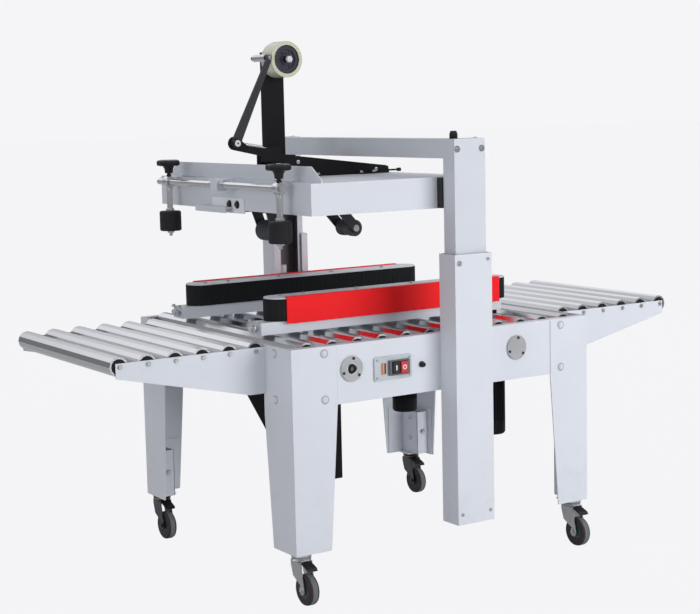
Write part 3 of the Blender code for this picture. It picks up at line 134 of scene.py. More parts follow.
# --- Shader building -------------------------------------------------------------------------------
class Sock:
    """An output socket that takes part in Python expressions."""

    def __init__(self, graph: "Nodes", socket: bpy.types.NodeSocket) -> None:
        """Wrap a socket.

        Args:
            graph: The nodes that the socket belongs to.
            socket: The output socket.
        """
        self.graph = graph
        self.socket = socket

    def _math(self, operation: str, first: "Sock | float", second: "Sock | float") -> "Sock":
        """Add one Math node.

        Args:
            operation: The Math node's operation.
            first: Its first value.
            second: Its second value.

        Returns:
            The node's result.
        """
        return self.graph.node("ShaderNodeMath", {"operation": operation}, {0: first, 1: second})

    def __add__(self, other: "Sock | float") -> "Sock":
        """Add."""
        return self._math("ADD", self, other)

    def __radd__(self, other: float) -> "Sock":
        """Add from the right."""
        return self._math("ADD", other, self)

    def __sub__(self, other: "Sock | float") -> "Sock":
        """Subtract."""
        return self._math("SUBTRACT", self, other)

    def __rsub__(self, other: float) -> "Sock":
        """Subtract from a number."""
        return self._math("SUBTRACT", other, self)

    def __mul__(self, other: "Sock | float") -> "Sock":
        """Multiply."""
        return self._math("MULTIPLY", self, other)

    def __rmul__(self, other: float) -> "Sock":
        """Multiply from the right."""
        return self._math("MULTIPLY", other, self)

    def __abs__(self) -> "Sock":
        """Drop the sign."""
        return self._math("ABSOLUTE", self, 0.0)

    def wave(self) -> "Sock":
        """The sine of the value."""
        return self._math("SINE", self, 0.0)

    def above(self, edge: float, soft: float) -> "Sock":
        """A mask that rises from 0 to 1 over a soft edge.

        Args:
            edge: The value where the mask starts.
            soft: The width of the rise.

        Returns:
            The mask.
        """
        return self.graph.node(
            "ShaderNodeMapRange", {"clamp": True, "interpolation_type": "SMOOTHSTEP"},
            {"Value": self, "From Min": edge, "From Max": edge + soft},
        )


def fill_ramp(ramp: bpy.types.ColorRamp, stops: Stops) -> None:
    """Fill a fresh ramp, whose first and last stops stay at 0 and 1.

    Args:
        ramp: The ramp.
        stops: Its stops in order, each a place and a colour.
    """
    (_, first), *inner, (_, last) = stops
    ramp.elements[0].color = (*first, 1.0)
    ramp.elements[1].color = (*last, 1.0)
    for spot, colour in inner:
        ramp.elements.new(spot).color = (*colour, 1.0)


class Nodes:
    """A node tree whose nodes come from one method."""

    def __init__(self, tree: bpy.types.NodeTree, ending: str) -> None:
        """Empty a tree and give it its output.

        Args:
            tree: The tree of a material or of the world.
            ending: The type of its output node.
        """
        self.tree = tree
        self.tree.nodes.clear()
        self.output = self.tree.nodes.new(ending)

    def node(
        self, kind: str, settings: dict[str, object] | None = None,
        values: dict[object, object] | None = None, output: int | str = 0,
    ) -> Sock:
        """Add any node.

        Args:
            kind: The node's type.
            settings: Its settings, which are made first; a ramp's are its stops.
            values: Numbers, tuples or sockets for its inputs, by name or index.
            output: The output to hand on.

        Returns:
            The chosen output.
        """
        made = self.tree.nodes.new(kind)
        for key, value in (settings or {}).items():
            if key == "stops":
                fill_ramp(made.color_ramp, value)
            else:
                setattr(made, key, value)
        for key, value in (values or {}).items():
            if isinstance(value, Sock):
                self.tree.links.new(value.socket, made.inputs[key])
            else:
                made.inputs[key].default_value = value
        return Sock(self, made.outputs[output])

    def surface(self, shader: Sock) -> None:
        """Link a shader to the output."""
        self.tree.links.new(shader.socket, self.output.inputs["Surface"])


class Graph(Nodes):
    """The nodes of one material, with its Principled shader."""

    def __init__(self, name: str) -> None:
        """Start an empty material.

        Args:
            name: The material's name.
        """
        self.material = bpy.data.materials.new(name)
        self.material.use_nodes = True
        super().__init__(self.material.node_tree, "ShaderNodeOutputMaterial")
        self.shader = self.tree.nodes.new("ShaderNodeBsdfPrincipled")
        self.surface(Sock(self, self.shader.outputs[0]))

    def place(self, stretch: Point = EVEN) -> Sock:
        """The place on the object in metres, stretched along each axis."""
        spot = self.node("ShaderNodeTexCoord", output="Object")
        return self.node("ShaderNodeVectorMath", {"operation": "MULTIPLY"}, {0: spot, 1: stretch})

    def along(self, axis: str) -> Sock:
        """One coordinate of the place on the object."""
        return self.node("ShaderNodeSeparateXYZ", values={0: self.place()}, output=axis)

    def noise(self, scale: float, detail: float = 3.0, stretch: Point = EVEN) -> Sock:
        """A noise value around one half.

        Args:
            scale: Grains per metre.
            detail: Octaves of detail.
            stretch: How much finer the grain is along each axis.

        Returns:
            The noise.
        """
        return self.node(
            "ShaderNodeTexNoise", values={"Vector": self.place(stretch), "Scale": scale, "Detail": detail},
        )

    def blend(self, factor: Sock | float, first: object, second: object) -> Sock:
        """Mix two colours.

        Args:
            factor: The share of the second colour.
            first: A colour or a socket.
            second: A colour or a socket.

        Returns:
            The mixed colour.
        """
        ends = [(*end, 1.0) if isinstance(end, tuple) else end for end in (first, second)]
        return self.node(
            "ShaderNodeMix", {"data_type": "RGBA"}, {0: factor, 6: ends[0], 7: ends[1]}, output=2,
        )

    def bump(self, height: Sock, strength: float, depth: float) -> Sock:
        """A bumped normal.

        Args:
            height: The height, 0 to 1.
            strength: The share of the bump used.
            depth: The depth in metres of a height of 1.

        Returns:
            The normal.
        """
        return self.node("ShaderNodeBump", values={"Height": height, "Strength": strength, "Distance": depth})

    def set(self, **inputs: object) -> bpy.types.Material:
        """Fill the shader's inputs.

        Args:
            **inputs: Values or sockets, with underscores for the spaces in the inputs' names.

        Returns:
            The finished material.
        """
        for key, value in inputs.items():
            target = self.shader.inputs[key.replace("_", " ")]
            if isinstance(value, Sock):
                self.tree.links.new(value.socket, target)
            else:
                target.default_value = value
        return self.material


def shade(colour: Colour, factor: float) -> Colour:
    """A colour made lighter or darker."""
    return (colour[0] * factor, colour[1] * factor, colour[2] * factor)


# --- Finishes ----------------------------------------------------------------------------------------
MADE: dict["Finish", bpy.types.Material] = {}


@dataclass(frozen=True)
class Finish:
    """A finish that makes its material once."""

    name: str

    def build(self) -> bpy.types.Material:
        """Make the material.

        Returns:
            The finished material.
        """
        raise NotImplementedError

    def material(self) -> bpy.types.Material:
        """The material of this finish, made when it is first asked for.

        Returns:
            The material.
        """
        if self not in MADE:
            MADE[self] = self.build()
        return MADE[self]


@dataclass(frozen=True)
class ShadedEnds:
    """A region of a piece in another colour, beyond a distance from the middle along one axis, painted there as
    shade.
    """

    axis: str
    beyond: float
    colour: Colour
    roughness: float


@dataclass(frozen=True)
class ShadedChannel:
    """The inside of a folded column on both long sides, darkened as painted shade, with the screw tube that stays
    light in it.
    """

    centre_x: float
    half_x: float
    reach_y: Pair
    tube: Point = (0.0, 0.0, 0.0)

    def mask(self, graph: Graph) -> Sock:
        """A mask that is 1 on the channel's inner faces, where the shade is painted.

        Args:
            graph: The graph that the mask is built in.

        Returns:
            The mask.
        """
        soft = 0.0003
        x, y = graph.along("X"), abs(graph.along("Y"))
        inside = 1.0 - abs(x - self.centre_x).above(self.half_x, soft)
        inside = inside * y.above(self.reach_y[0], soft) * (1.0 - y.above(self.reach_y[1], soft))
        if self.tube[2] > 0.0:
            dx, dy = x - self.tube[0], y - self.tube[1]
            inside = inside * (dx * dx + dy * dy).above(self.tube[2] ** 2, 1e-6)
        return inside


@dataclass(frozen=True)
class PowderCoat(Finish):
    """Powder-coated sheet steel with a fine orange-peel skin, slight cloudiness and dusty lower edges, with painted
    shade where a shaded channel and shaded ends are given.
    """

    colour: Colour = (0.70, 0.73, 0.80)
    roughness: float = 0.42
    metallic: float = 0.0
    peel: float = 0.00006
    dust_top: float = 0.0
    specular: float = 0.5
    coat: float = 0.10
    shaded_ends: ShadedEnds | None = None
    channel: ShadedChannel | None = None

    def build(self) -> bpy.types.Material:
        """Make the material.

        Returns:
            The finished material.
        """
        graph = Graph(self.name)
        cloud = graph.noise(7.0, 2.0)
        speck = graph.noise(420.0, 2.0)
        colour = graph.blend(cloud.above(0.35, 0.3), shade(self.colour, 0.988), shade(self.colour, 1.008))
        colour = graph.blend(speck.above(0.62, 0.1) * 0.12, colour, shade(self.colour, 0.90))
        rough = speck * 0.08 + cloud * 0.10 + (self.roughness - 0.09)
        if self.dust_top > 0.0:
            low = 1.0 - graph.along("Z").above(self.dust_top - 0.10, 0.12)
            dust = low * graph.noise(26.0, 5.0).above(0.46, 0.25) * 0.10
            colour = graph.blend(dust, colour, shade(self.colour, 0.60))
            rough = rough + dust * 0.4
        # Painted shade: past the given distance the paint turns near black, for the shadow in the gap beside the
        # head's ends.
        if self.shaded_ends is not None:
            mask = abs(graph.along(self.shaded_ends.axis)).above(self.shaded_ends.beyond, 0.0004)
            other = graph.blend(speck, shade(self.shaded_ends.colour, 0.8), shade(self.shaded_ends.colour, 1.2))
            colour = graph.blend(mask, colour, other)
            rough = rough + mask * (self.shaded_ends.roughness - self.roughness)
        # Painted shade: the channel's inner faces get a fifth of the paint's colour, for the shade inside the column.
        if self.channel is not None:
            colour = graph.blend(self.channel.mask(graph), colour, shade(self.colour, 0.20))
        skin = graph.noise(650.0, 1.0)
        return graph.set(
            Base_Color=colour, Roughness=rough, Metallic=self.metallic, Coat_Weight=self.coat,
            Specular_IOR_Level=self.specular, Normal=graph.bump(skin, 0.6, self.peel),
        )


@dataclass(frozen=True)
class PaintedFrame:
    """The painted rails, strips and end plates round the bare rollers of the bed."""

    colour: Colour
    rail_y: float = 0.402
    strip_y: float = 0.0765
    strip_x: float = 0.215
    end_x: float = 0.460

    def mask(self, graph: Graph) -> Sock:
        """A mask that is 1 on the painted parts.

        Args:
            graph: The graph that the mask is built in.

        Returns:
            The mask.
        """
        reach_x, reach_y = abs(graph.along("X")), abs(graph.along("Y"))
        rails = reach_y.above(self.rail_y, 0.001)
        strips = (1.0 - reach_y.above(self.strip_y, 0.0005)) * (1.0 - reach_x.above(self.strip_x, 0.001))
        return (rails + strips + reach_x.above(self.end_x, 0.001)).above(0.5, 0.1)


@dataclass(frozen=True)
class DrawnMetal(Finish):
    """Metal with the fine lines of drawing or turning, a little tarnish and scattered scuffs."""

    colour: Colour = (0.62, 0.63, 0.65)
    roughness: float = 0.28
    grain: Point = EVEN
    lines: float = 260.0
    contrast: float = 0.18
    depth: float = 0.00004
    tarnish: float = 1.0
    painted: PaintedFrame | None = None

    def build(self) -> bpy.types.Material:
        """Make the material.

        Returns:
            The finished material.
        """
        graph = Graph(self.name)
        line = graph.noise(self.lines, 3.0, self.grain)
        cloud = graph.noise(9.0, 3.0)
        colour = graph.blend(line, shade(self.colour, 1.0 - self.contrast), shade(self.colour, 1.0 + self.contrast))
        colour = graph.blend(cloud.above(0.5, 0.25) * (0.35 * self.tarnish), colour, shade(self.colour, 0.72))
        smooth = self.roughness - 0.14 * self.tarnish
        rough = line * (0.16 * self.tarnish) + cloud * (0.12 * self.tarnish) + smooth
        metal: Sock | float = 1.0
        if self.painted is not None:
            mask = self.painted.mask(graph)
            colour = graph.blend(mask, colour, self.painted.colour)
            rough = rough + mask * 0.15
            metal = 1.0 - mask
        return graph.set(
            Base_Color=colour, Roughness=rough, Metallic=metal, Normal=graph.bump(line, 0.5, self.depth),
        )


@dataclass(frozen=True)
class Moulded(Finish):
    """Moulded plastic or rubber with a fine spark-eroded grain."""

    colour: Colour = (0.02, 0.02, 0.023)
    roughness: float = 0.45
    grain: float = 900.0
    depth: float = 0.00006
    coat: float = 0.0
    specular: float = 0.35

    def build(self) -> bpy.types.Material:
        """Make the material.

        Returns:
            The finished material.
        """
        graph = Graph(self.name)
        fine = graph.noise(self.grain, 2.0)
        cloud = graph.noise(24.0, 3.0)
        colour = graph.blend(cloud, shade(self.colour, 0.82), shade(self.colour, 1.22))
        rough = fine * 0.14 + cloud * 0.10 + (self.roughness - 0.12)
        return graph.set(
            Base_Color=colour, Roughness=rough, Coat_Weight=self.coat, Specular_IOR_Level=self.specular,
            Normal=graph.bump(fine, 0.6, self.depth),
        )


@dataclass(frozen=True)
class WoundFilm(Finish):
    """Clear tape film wound on a core: its ends show the windings, its outside is smooth and glossy."""

    centre: Point = (0.0, 0.0, 0.0)
    colour: Colour = (0.66, 0.69, 0.52)
    deep: Colour = (0.46, 0.47, 0.32)

    def build(self) -> bpy.types.Material:
        """Make the material.

        Returns:
            The finished material.
        """
        graph = Graph(self.name)
        spot = graph.node("ShaderNodeVectorMath", {"operation": "SUBTRACT"}, {0: graph.place(), 1: self.centre})
        flat = graph.node("ShaderNodeVectorMath", {"operation": "MULTIPLY"}, {0: spot, 1: (1.0, 0.0, 1.0)})
        reach = graph.node("ShaderNodeVectorMath", {"operation": "LENGTH"}, {0: flat}, output="Value")
        layers = (reach * 9000.0).wave() * 0.5 + 0.5
        cloud = graph.noise(60.0, 3.0)
        colour = graph.blend(layers * 0.35 + cloud * 0.3, self.colour, self.deep)
        return graph.set(
            Base_Color=colour, Roughness=cloud * 0.15 + 0.16, Coat_Weight=0.35,
            Normal=graph.bump(layers, 0.25, 0.00004),
        )


WHITE = PowderCoat("paint_white")
LEG_WHITE = PowderCoat("paint_white_low", dust_top=0.30)
# The sleeves get painted shade on the inner faces of their channels.
SLEEVE_WHITE = PowderCoat(
    "paint_white_sleeve", dust_top=0.30, channel=ShadedChannel(0.034, 0.0562, (0.4228, 0.4852), (0.019, 0.4541, 0.0165)),
)
# Painted shade: a darker copy of the white paint for the mast, set by how the lamps fall on it; its channel also gets
# painted shade.
MAST_WHITE_SHADED = PowderCoat("paint_white_mast_shaded", (0.65, 0.68, 0.745), channel=ShadedChannel(0.034, 0.0462, (0.4328, 0.4754)))
# Painted shade: the head turns near black past |y| 0.4083, in the gap between its beams and the columns.
HEAD_WHITE = PowderCoat("paint_white_head", shaded_ends=ShadedEnds("Y", 0.4083, (0.012, 0.012, 0.014), 0.55))
# Also put on the spindle nut, where the pale paint is a painted highlight.
BOLT_WHITE = PowderCoat("paint_white_bolts", (0.66, 0.69, 0.75), 0.32)
RED = PowderCoat("paint_red", (0.96, 0.020, 0.024), 0.42, coat=0.0, specular=0.12)
BLACK = PowderCoat("paint_black", (0.0130, 0.0130, 0.0150), 0.50, coat=0.0, specular=0.12)
ARM_GREY = PowderCoat("paint_dark_grey", (0.040, 0.042, 0.047), 0.42, 0.2, coat=0.0, specular=0.3)
# Painted highlight: a lighter copy of the white paint for the guide bracket's face, where the bracket's top catches
# the light.
GUIDE_WHITE_LIT = PowderCoat("paint_white_guide_lit", (0.90, 0.91, 0.93), 0.42)
ROLLER_STEEL = DrawnMetal("zinc_tube", (0.60, 0.61, 0.63), 0.22, (1.0, 0.04, 1.0), 120.0, 0.02, 0.0, 0.15)
BED_STEEL = replace(ROLLER_STEEL, name="zinc_tube_bed", painted=PaintedFrame((0.62, 0.65, 0.71)))
ZINC = DrawnMetal("zinc_bright", (0.60, 0.61, 0.63), 0.30, EVEN, 500.0, 0.12)
CHROME = DrawnMetal("chrome_polished", (0.66, 0.67, 0.69), 0.24, (1.0, 0.1, 1.0), 300.0, 0.04, 0.0, 0.3)
DARK_STEEL = DrawnMetal("steel_dark", (0.10, 0.102, 0.11), 0.38, EVEN, 400.0, 0.15)
BRASS = DrawnMetal("brass_ring", (0.52, 0.38, 0.16), 0.32, EVEN, 400.0, 0.12)
KNOB = Moulded("knob_black", (0.007, 0.007, 0.008), 0.36, coat=0.06)
SOCKET = Moulded("socket_black", (0.008, 0.008, 0.009), 0.5)
RUBBER = Moulded("roller_rubber", (0.012, 0.012, 0.015), 0.58, 700.0, 0.0001)
BELTING = Moulded("belt_rubber", (0.010, 0.011, 0.012), 0.62, 800.0, 0.00012, specular=0.25)
TREAD = Moulded("tyre_grey", (0.15, 0.152, 0.160), 0.60, 600.0, 0.0001)
TYRE = Moulded("tyre_dark", (0.030, 0.030, 0.033), 0.55, 600.0, 0.0001)
RIM = Moulded("rim_dark", (0.060, 0.020, 0.024), 0.42)
RIM_BLACK = Moulded("rim_black", (0.022, 0.022, 0.024), 0.42)
HUB_TEAL = Moulded("hub_teal", (0.03, 0.085, 0.10), 0.40)
SWITCH_GREY = Moulded("switch_plate", (0.52, 0.56, 0.60), 0.40)
BEZEL_GREY = Moulded("switch_bezel_grey", (0.13, 0.135, 0.145), 0.40)
BEZEL = Moulded("switch_bezel", (0.012, 0.012, 0.014), 0.35)
COPPER = Moulded("lamp_copper", (0.62, 0.27, 0.13), 0.30, coat=0.3)
GLOSS_BLACK = Moulded("button_black", (0.010, 0.010, 0.011), 0.25, coat=0.2)
SIGNAL = Moulded("button_red", (0.62, 0.025, 0.04), 0.28, coat=0.2)
MARK = Moulded("button_mark", (0.80, 0.80, 0.80), 0.40)
CORE = Moulded("tape_core", (0.045, 0.042, 0.060), 0.42)
ROLLER_GREY = Moulded("tape_roller_grey", (0.055, 0.058, 0.070), 0.42, 700.0, 0.00008)
# Grey for the shade painted in the gaps round bolts and along seams.
GAP_SHADE = Moulded("gap_painted_shade", (0.22, 0.23, 0.25), 0.5)


# --- Meshes ------------------------------------------------------------------------------------------
def arc(centre: Pair, radius: float, start: float, end: float, steps: int = 8) -> list[Pair]:
    """Points on an arc between two angles.

    Args:
        centre: The arc's centre.
        radius: Its radius.
        start: Its first angle.
        end: Its last angle.
        steps: The number of chords.

    Returns:
        The points.
    """
    turns = [start + (end - start) * step / steps for step in range(steps + 1)]
    return [(centre[0] + radius * math.cos(turn), centre[1] + radius * math.sin(turn)) for turn in turns]


def link(start: Pair, end: Pair, radius: float, steps: int = 10) -> list[Pair]:
    """The outline of a flat link with round ends.

    Args:
        start: The middle of its first end.
        end: The middle of its last end.
        radius: The radius of both ends.
        steps: The number of chords in each end.

    Returns:
        The outline.
    """
    heading = math.atan2(end[1] - start[1], end[0] - start[0])
    quarter = math.pi / 2
    back = arc(start, radius, heading + quarter, heading + 3 * quarter, steps)
    return back + arc(end, radius, heading - quarter, heading + quarter, steps)


def rounded(low: Pair, high: Pair, radius: float, steps: int = 4) -> list[Pair]:
    """The outline of a rectangle with round corners.

    Args:
        low: Its lowest corner.
        high: Its highest corner.
        radius: The corners' radius.
        steps: The number of chords in each corner.

    Returns:
        The outline.
    """
    quarter = math.pi / 2
    corners = [
        ((high[0] - radius, high[1] - radius), 0.0),
        ((low[0] + radius, high[1] - radius), quarter),
        ((low[0] + radius, low[1] + radius), 2 * quarter),
        ((high[0] - radius, low[1] + radius), 3 * quarter),
    ]
    return [point for centre, turn in corners for point in arc(centre, radius, turn, turn + quarter, steps)]


def disc_profile(radius: float, height: float) -> list[Pair]:
    """The profile of a plain disc."""
    return [(0.0, 0.0), (radius, 0.0), (radius, height), (0.0, height)]


def ring_profile(inner: float, outer: float, height: float) -> list[Pair]:
    """The profile of a plain ring, to be closed."""
    return [(inner, 0.0), (outer, 0.0), (outer, height), (inner, height)]


def mirrored(half: list[Pair]) -> list[Pair]:
    """Half of a ring's profile with its mirror image, to be closed."""
    return half + [(radius, -height) for radius, height in reversed(half)]


@dataclass(frozen=True)
class Extent:
    """The box of one node of the frame, and its middle."""

    low: Vector
    high: Vector

    @classmethod
    def of(cls, node: str) -> "Extent":
        """The box of a node."""
        return cls(*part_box(node))

    @property
    def x(self) -> float:
        """The middle along X."""
        return (self.low.x + self.high.x) / 2

    @property
    def y(self) -> float:
        """The middle along Y."""
        return (self.low.y + self.high.y) / 2

    @property
    def z(self) -> float:
        """The middle along Z."""
        return (self.low.z + self.high.z) / 2


class Shape:
    """Mesh forms gathered into one piece."""

    def __init__(self) -> None:
        """Start with nothing."""
        self.bm = bmesh.new()

    def rings(self, rings: list[list[Point]], closed: bool = False) -> "Shape":
        """Skin a row of rings of points.

        Args:
            rings: Rings with the same number of points; a ring of one point is a pole.
            closed: Whether the last ring joins the first.

        Returns:
            This shape.
        """
        made = [[self.bm.verts.new(point) for point in ring] for ring in rings]
        pairs = list(zip(made, made[1:])) + ([(made[-1], made[0])] if closed else [])
        for first, second in pairs:
            count = max(len(first), len(second))
            for index in range(count):
                after = (index + 1) % count
                if len(first) == 1:
                    self.bm.faces.new((first[0], second[index], second[after]))
                elif len(second) == 1:
                    self.bm.faces.new((first[index], second[0], first[after]))
                else:
                    self.bm.faces.new((first[index], second[index], second[after], first[after]))
        return self

    def turned(
        self, profile: list[Pair], centre: Point, way: Way | Point, sides: int = 32, closed: bool = False,
        lobes: int = 0, lobe_depth: float = 0.0,
    ) -> "Shape":
        """Turn a profile about an axis.

        Args:
            profile: Points (radius, height); a radius of 0 is a pole.
            centre: Where the profile's foot is.
            way: The axis.
            sides: The number of sides.
            closed: Whether the profile is a ring.
            lobes: The number of lobes round the edge.
            lobe_depth: The share of the radius that the lobes take.

        Returns:
            This shape.
        """
        axis = Vector(way.value if isinstance(way, Way) else way).normalized()
        turn = Vector((0, 0, 1)).rotation_difference(axis).to_matrix().to_4x4()
        place = Matrix.Translation(centre) @ turn
        rings = []
        for radius, height in profile:
            if radius == 0.0:
                rings.append([tuple(place @ Vector((0, 0, height)))])
                continue
            ring = []
            for side in range(sides):
                angle = math.tau * side / sides
                reach = radius * (1.0 - lobe_depth * (0.5 - 0.5 * math.cos(lobes * angle)))
                ring.append(tuple(place @ Vector((reach * math.cos(angle), reach * math.sin(angle), height))))
            rings.append(ring)
        return self.rings(rings, closed)

    def rod(self, start: Point, end: Point, radius: float, sides: int = 20, ease: float = 0.0006) -> "Shape":
        """A round bar between two points, with eased ends.

        Args:
            start: The middle of its first end.
            end: The middle of its last end.
            radius: Its radius.
            sides: The number of sides.
            ease: The size of the eased edges.

        Returns:
            This shape.
        """
        along = Vector(end) - Vector(start)
        length = along.length
        profile = [
            (0.0, 0.0), (radius - ease, 0.0), (radius, ease), (radius, length - ease), (radius - ease, length),
            (0.0, length),
        ]
        return self.turned(profile, start, tuple(along), sides)

    def prism(self, outline: list[Pair], axis: str, start: float, end: float) -> "Shape":
        """Extrude an outline along an axis.

        Args:
            outline: Points (y, z), (x, z) or (x, y).
            axis: The axis: X, Y or Z.
            start: Where the prism starts on it.
            end: Where it ends.

        Returns:
            This shape.
        """
        place = {
            "X": lambda a, b, c: (c, a, b),
            "Y": lambda a, b, c: (a, c, b),
            "Z": lambda a, b, c: (a, b, c),
        }[axis]
        low = [self.bm.verts.new(place(*point, start)) for point in outline]
        high = [self.bm.verts.new(place(*point, end)) for point in outline]
        self.bm.faces.new(low)
        self.bm.faces.new(high)
        for index in range(len(outline)):
            after = (index + 1) % len(outline)
            self.bm.faces.new((low[index], low[after], high[after], high[index]))
        return self

    def plate(self, low: Point, high: Point, ease: float = 0.0008) -> "Shape":
        """A flat block whose edges are eased all round its shortest side.

        Args:
            low: Its lowest corner.
            high: Its highest corner.
            ease: The size of the eased edges.

        Returns:
            This shape.
        """
        sizes = [high[index] - low[index] for index in range(3)]
        thin = sizes.index(min(sizes))
        first, second = [index for index in range(3) if index != thin]
        ease = min(ease, min(sizes) / 2.5)
        levels = [
            (low[thin], ease), (low[thin] + ease, 0.0), (high[thin] - ease, 0.0), (high[thin], ease),
        ]
        rings = []
        for level, inset in levels:
            outline = rounded(
                (low[first] + inset, low[second] + inset), (high[first] - inset, high[second] - inset),
                max(ease * 1.5 - inset, ease * 0.5), 3,
            )
            ring = []
            for a, b in outline:
                point = [0.0, 0.0, 0.0]
                point[first], point[second], point[thin] = a, b, level
                ring.append(tuple(point))
            rings.append(ring)
        self.rings(rings)
        self.bm.verts.ensure_lookup_table()
        count = len(rings[0])
        fresh = list(self.bm.verts)[-4 * count:]
        self.bm.faces.new(fresh[:count])
        self.bm.faces.new(fresh[-count:])
        return self

    def sweep(self, path: list[Point], radius: float, sides: int = 10) -> "Shape":
        """A round wire along a path, with closed ends.

        Args:
            path: The points of its middle.
            radius: Its radius.
            sides: The number of sides.

        Returns:
            This shape.
        """
        points = [Vector(point) for point in path]
        rings: list[list[Point]] = [[tuple(points[0])]]
        side = Vector((0.31, 0.17, 0.93))
        for index, point in enumerate(points):
            ahead = points[min(index + 1, len(points) - 1)] - points[max(index - 1, 0)]
            ahead.normalize()
            side = (side - ahead * side.dot(ahead)).normalized()
            other = ahead.cross(side)
            rings.append([
                tuple(point + (side * math.cos(turn) + other * math.sin(turn)) * radius)
                for turn in (math.tau * step / sides for step in range(sides))
            ])
        rings.append([tuple(points[-1])])
        return self.rings(rings)

    def bolt(self, spot: Point, way: Way, across: float = 0.010, height: float = 0.0045) -> "Shape":
        """A hexagon head on a washer.

        Args:
            spot: The middle of the washer's foot.
            way: The direction it points in.
            across: The head's width.
            height: The height of head and washer.

        Returns:
            This shape.
        """
        washer = 0.28 * height
        radius = across / 2
        self.turned(disc_profile(radius * 1.45, washer), spot, way, 20)
        foot = Vector(spot) + Vector(way.value) * washer
        rise = height - washer
        head = [(0.0, 0.0), (radius, 0.0), (radius, 0.8 * rise), (0.86 * radius, rise), (0.0, rise)]
        return self.turned(head, tuple(foot), way, 6)

    def screw(self, spot: Point, way: Way, radius: float = 0.0045, height: float = 0.0025) -> "Shape":
        """A domed head with a round recess.

        Args:
            spot: The middle of its foot.
            way: The direction it points in.
            radius: Its radius.
            height: Its height.

        Returns:
            This shape.
        """
        profile = [
            (0.0, 0.4 * height), (0.42 * radius, 0.4 * height), (0.42 * radius, height),
            (0.70 * radius, 0.92 * height), (0.92 * radius, 0.6 * height), (radius, 0.0), (0.0, 0.0),
        ]
        return self.turned(profile, spot, way, 16)

    def make(self, name: str) -> bpy.types.Object:
        """Turn the gathered forms into an object with its faces out and smooth where they are round.

        Args:
            name: The object's name.

        Returns:
            The object.
        """
        bmesh.ops.remove_doubles(self.bm, verts=self.bm.verts, dist=1e-7)
        bmesh.ops.recalc_face_normals(self.bm, faces=self.bm.faces)
        mesh = bpy.data.meshes.new(name)
        self.bm.to_mesh(mesh)
        self.bm.free()
        mesh.shade_smooth()
        mesh.set_sharp_from_angle(angle=SMOOTH_ANGLE)
        made = bpy.data.objects.new(name, mesh)
        bpy.context.scene.collection.objects.link(made)
        return made


@dataclass
class Piece:
    """One visible piece: its shape, finish, slot, the body it rides on and the nodes it stands for."""

    name: str
    shape: Shape
    body: str
    finish: Finish
    slot: Slot
    stands_for: tuple[str, ...] = ()


@dataclass
class SubAssembly:
    """A group of pieces that belong together."""

    pieces: list[Piece] = field(default_factory=list, init=False)

    def build(self) -> None:
        """Make the pieces' meshes."""
        raise NotImplementedError

    def dress(self) -> None:
        """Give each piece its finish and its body."""
        for piece in self.pieces:
            made = piece.shape.make(piece.name)
            made.data.materials.append(piece.finish.material())
            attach(made, piece.body)
            if piece.stands_for:
                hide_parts(*piece.stands_for)
            log.info("%s rides on %s", piece.name, piece.body)

    def add(
        self, name: str, shape: Shape, body: str, finish: Finish, slot: Slot, *stands_for: str,
    ) -> None:
        """Note a piece to be dressed.

        Args:
            name: The piece's name.
            shape: Its mesh forms.
            body: The body that it rides on.
            finish: Its finish.
            slot: Its material slot.
            *stands_for: The nodes that it takes the place of.
        """
        self.pieces.append(Piece(name, shape, body, finish, slot, stands_for))


# --- Sub-assemblies -------------------------------------------------------------------------------------
@dataclass
class Solids(SubAssembly):
    """The carried-over solids, which only get their finishes."""

    def build(self) -> None:
        """Nothing is built: the solids are there."""

    def dress(self) -> None:
        """Put each solid's finish on it."""
        chosen: dict[str, Finish] = {
            "roller_bed": BED_STEEL, "infeed_frame": WHITE, "outfeed_frame": WHITE, "mast": MAST_WHITE_SHADED,
            "head_frame": HEAD_WHITE, "lower_tape_head": BLACK, "upper_tape_head": BLACK,
            "presser_tube": CHROME, "tension_arm": ARM_GREY, "width_screw": ZINC,
            "start_button": GLOSS_BLACK, "stop_button": SIGNAL,
        }
        for side in Side:
            chosen[f"side_panel_{side.value}"] = WHITE
            chosen[f"column_sleeve_{side.value}"] = SLEEVE_WHITE
            chosen[f"belt_carriage_{side.value}"] = WHITE
            chosen[f"belt_cover_{side.value}"] = RED
            for end in End:
                chosen[f"leg_outer_{side.value}_{end.value}"] = LEG_WHITE
                chosen[f"leg_inner_{side.value}_{end.value}"] = LEG_WHITE
        for end in End:
            for number in range(1, 7):
                chosen[f"{end.value}_roller_{number}"] = ROLLER_STEEL
        for name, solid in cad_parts.items():
            finish = chosen.get(name, ZINC)
            solid.data.materials.clear()
            solid.data.materials.append(finish.material())
            log.info("%s finished as %s", name, finish.name)


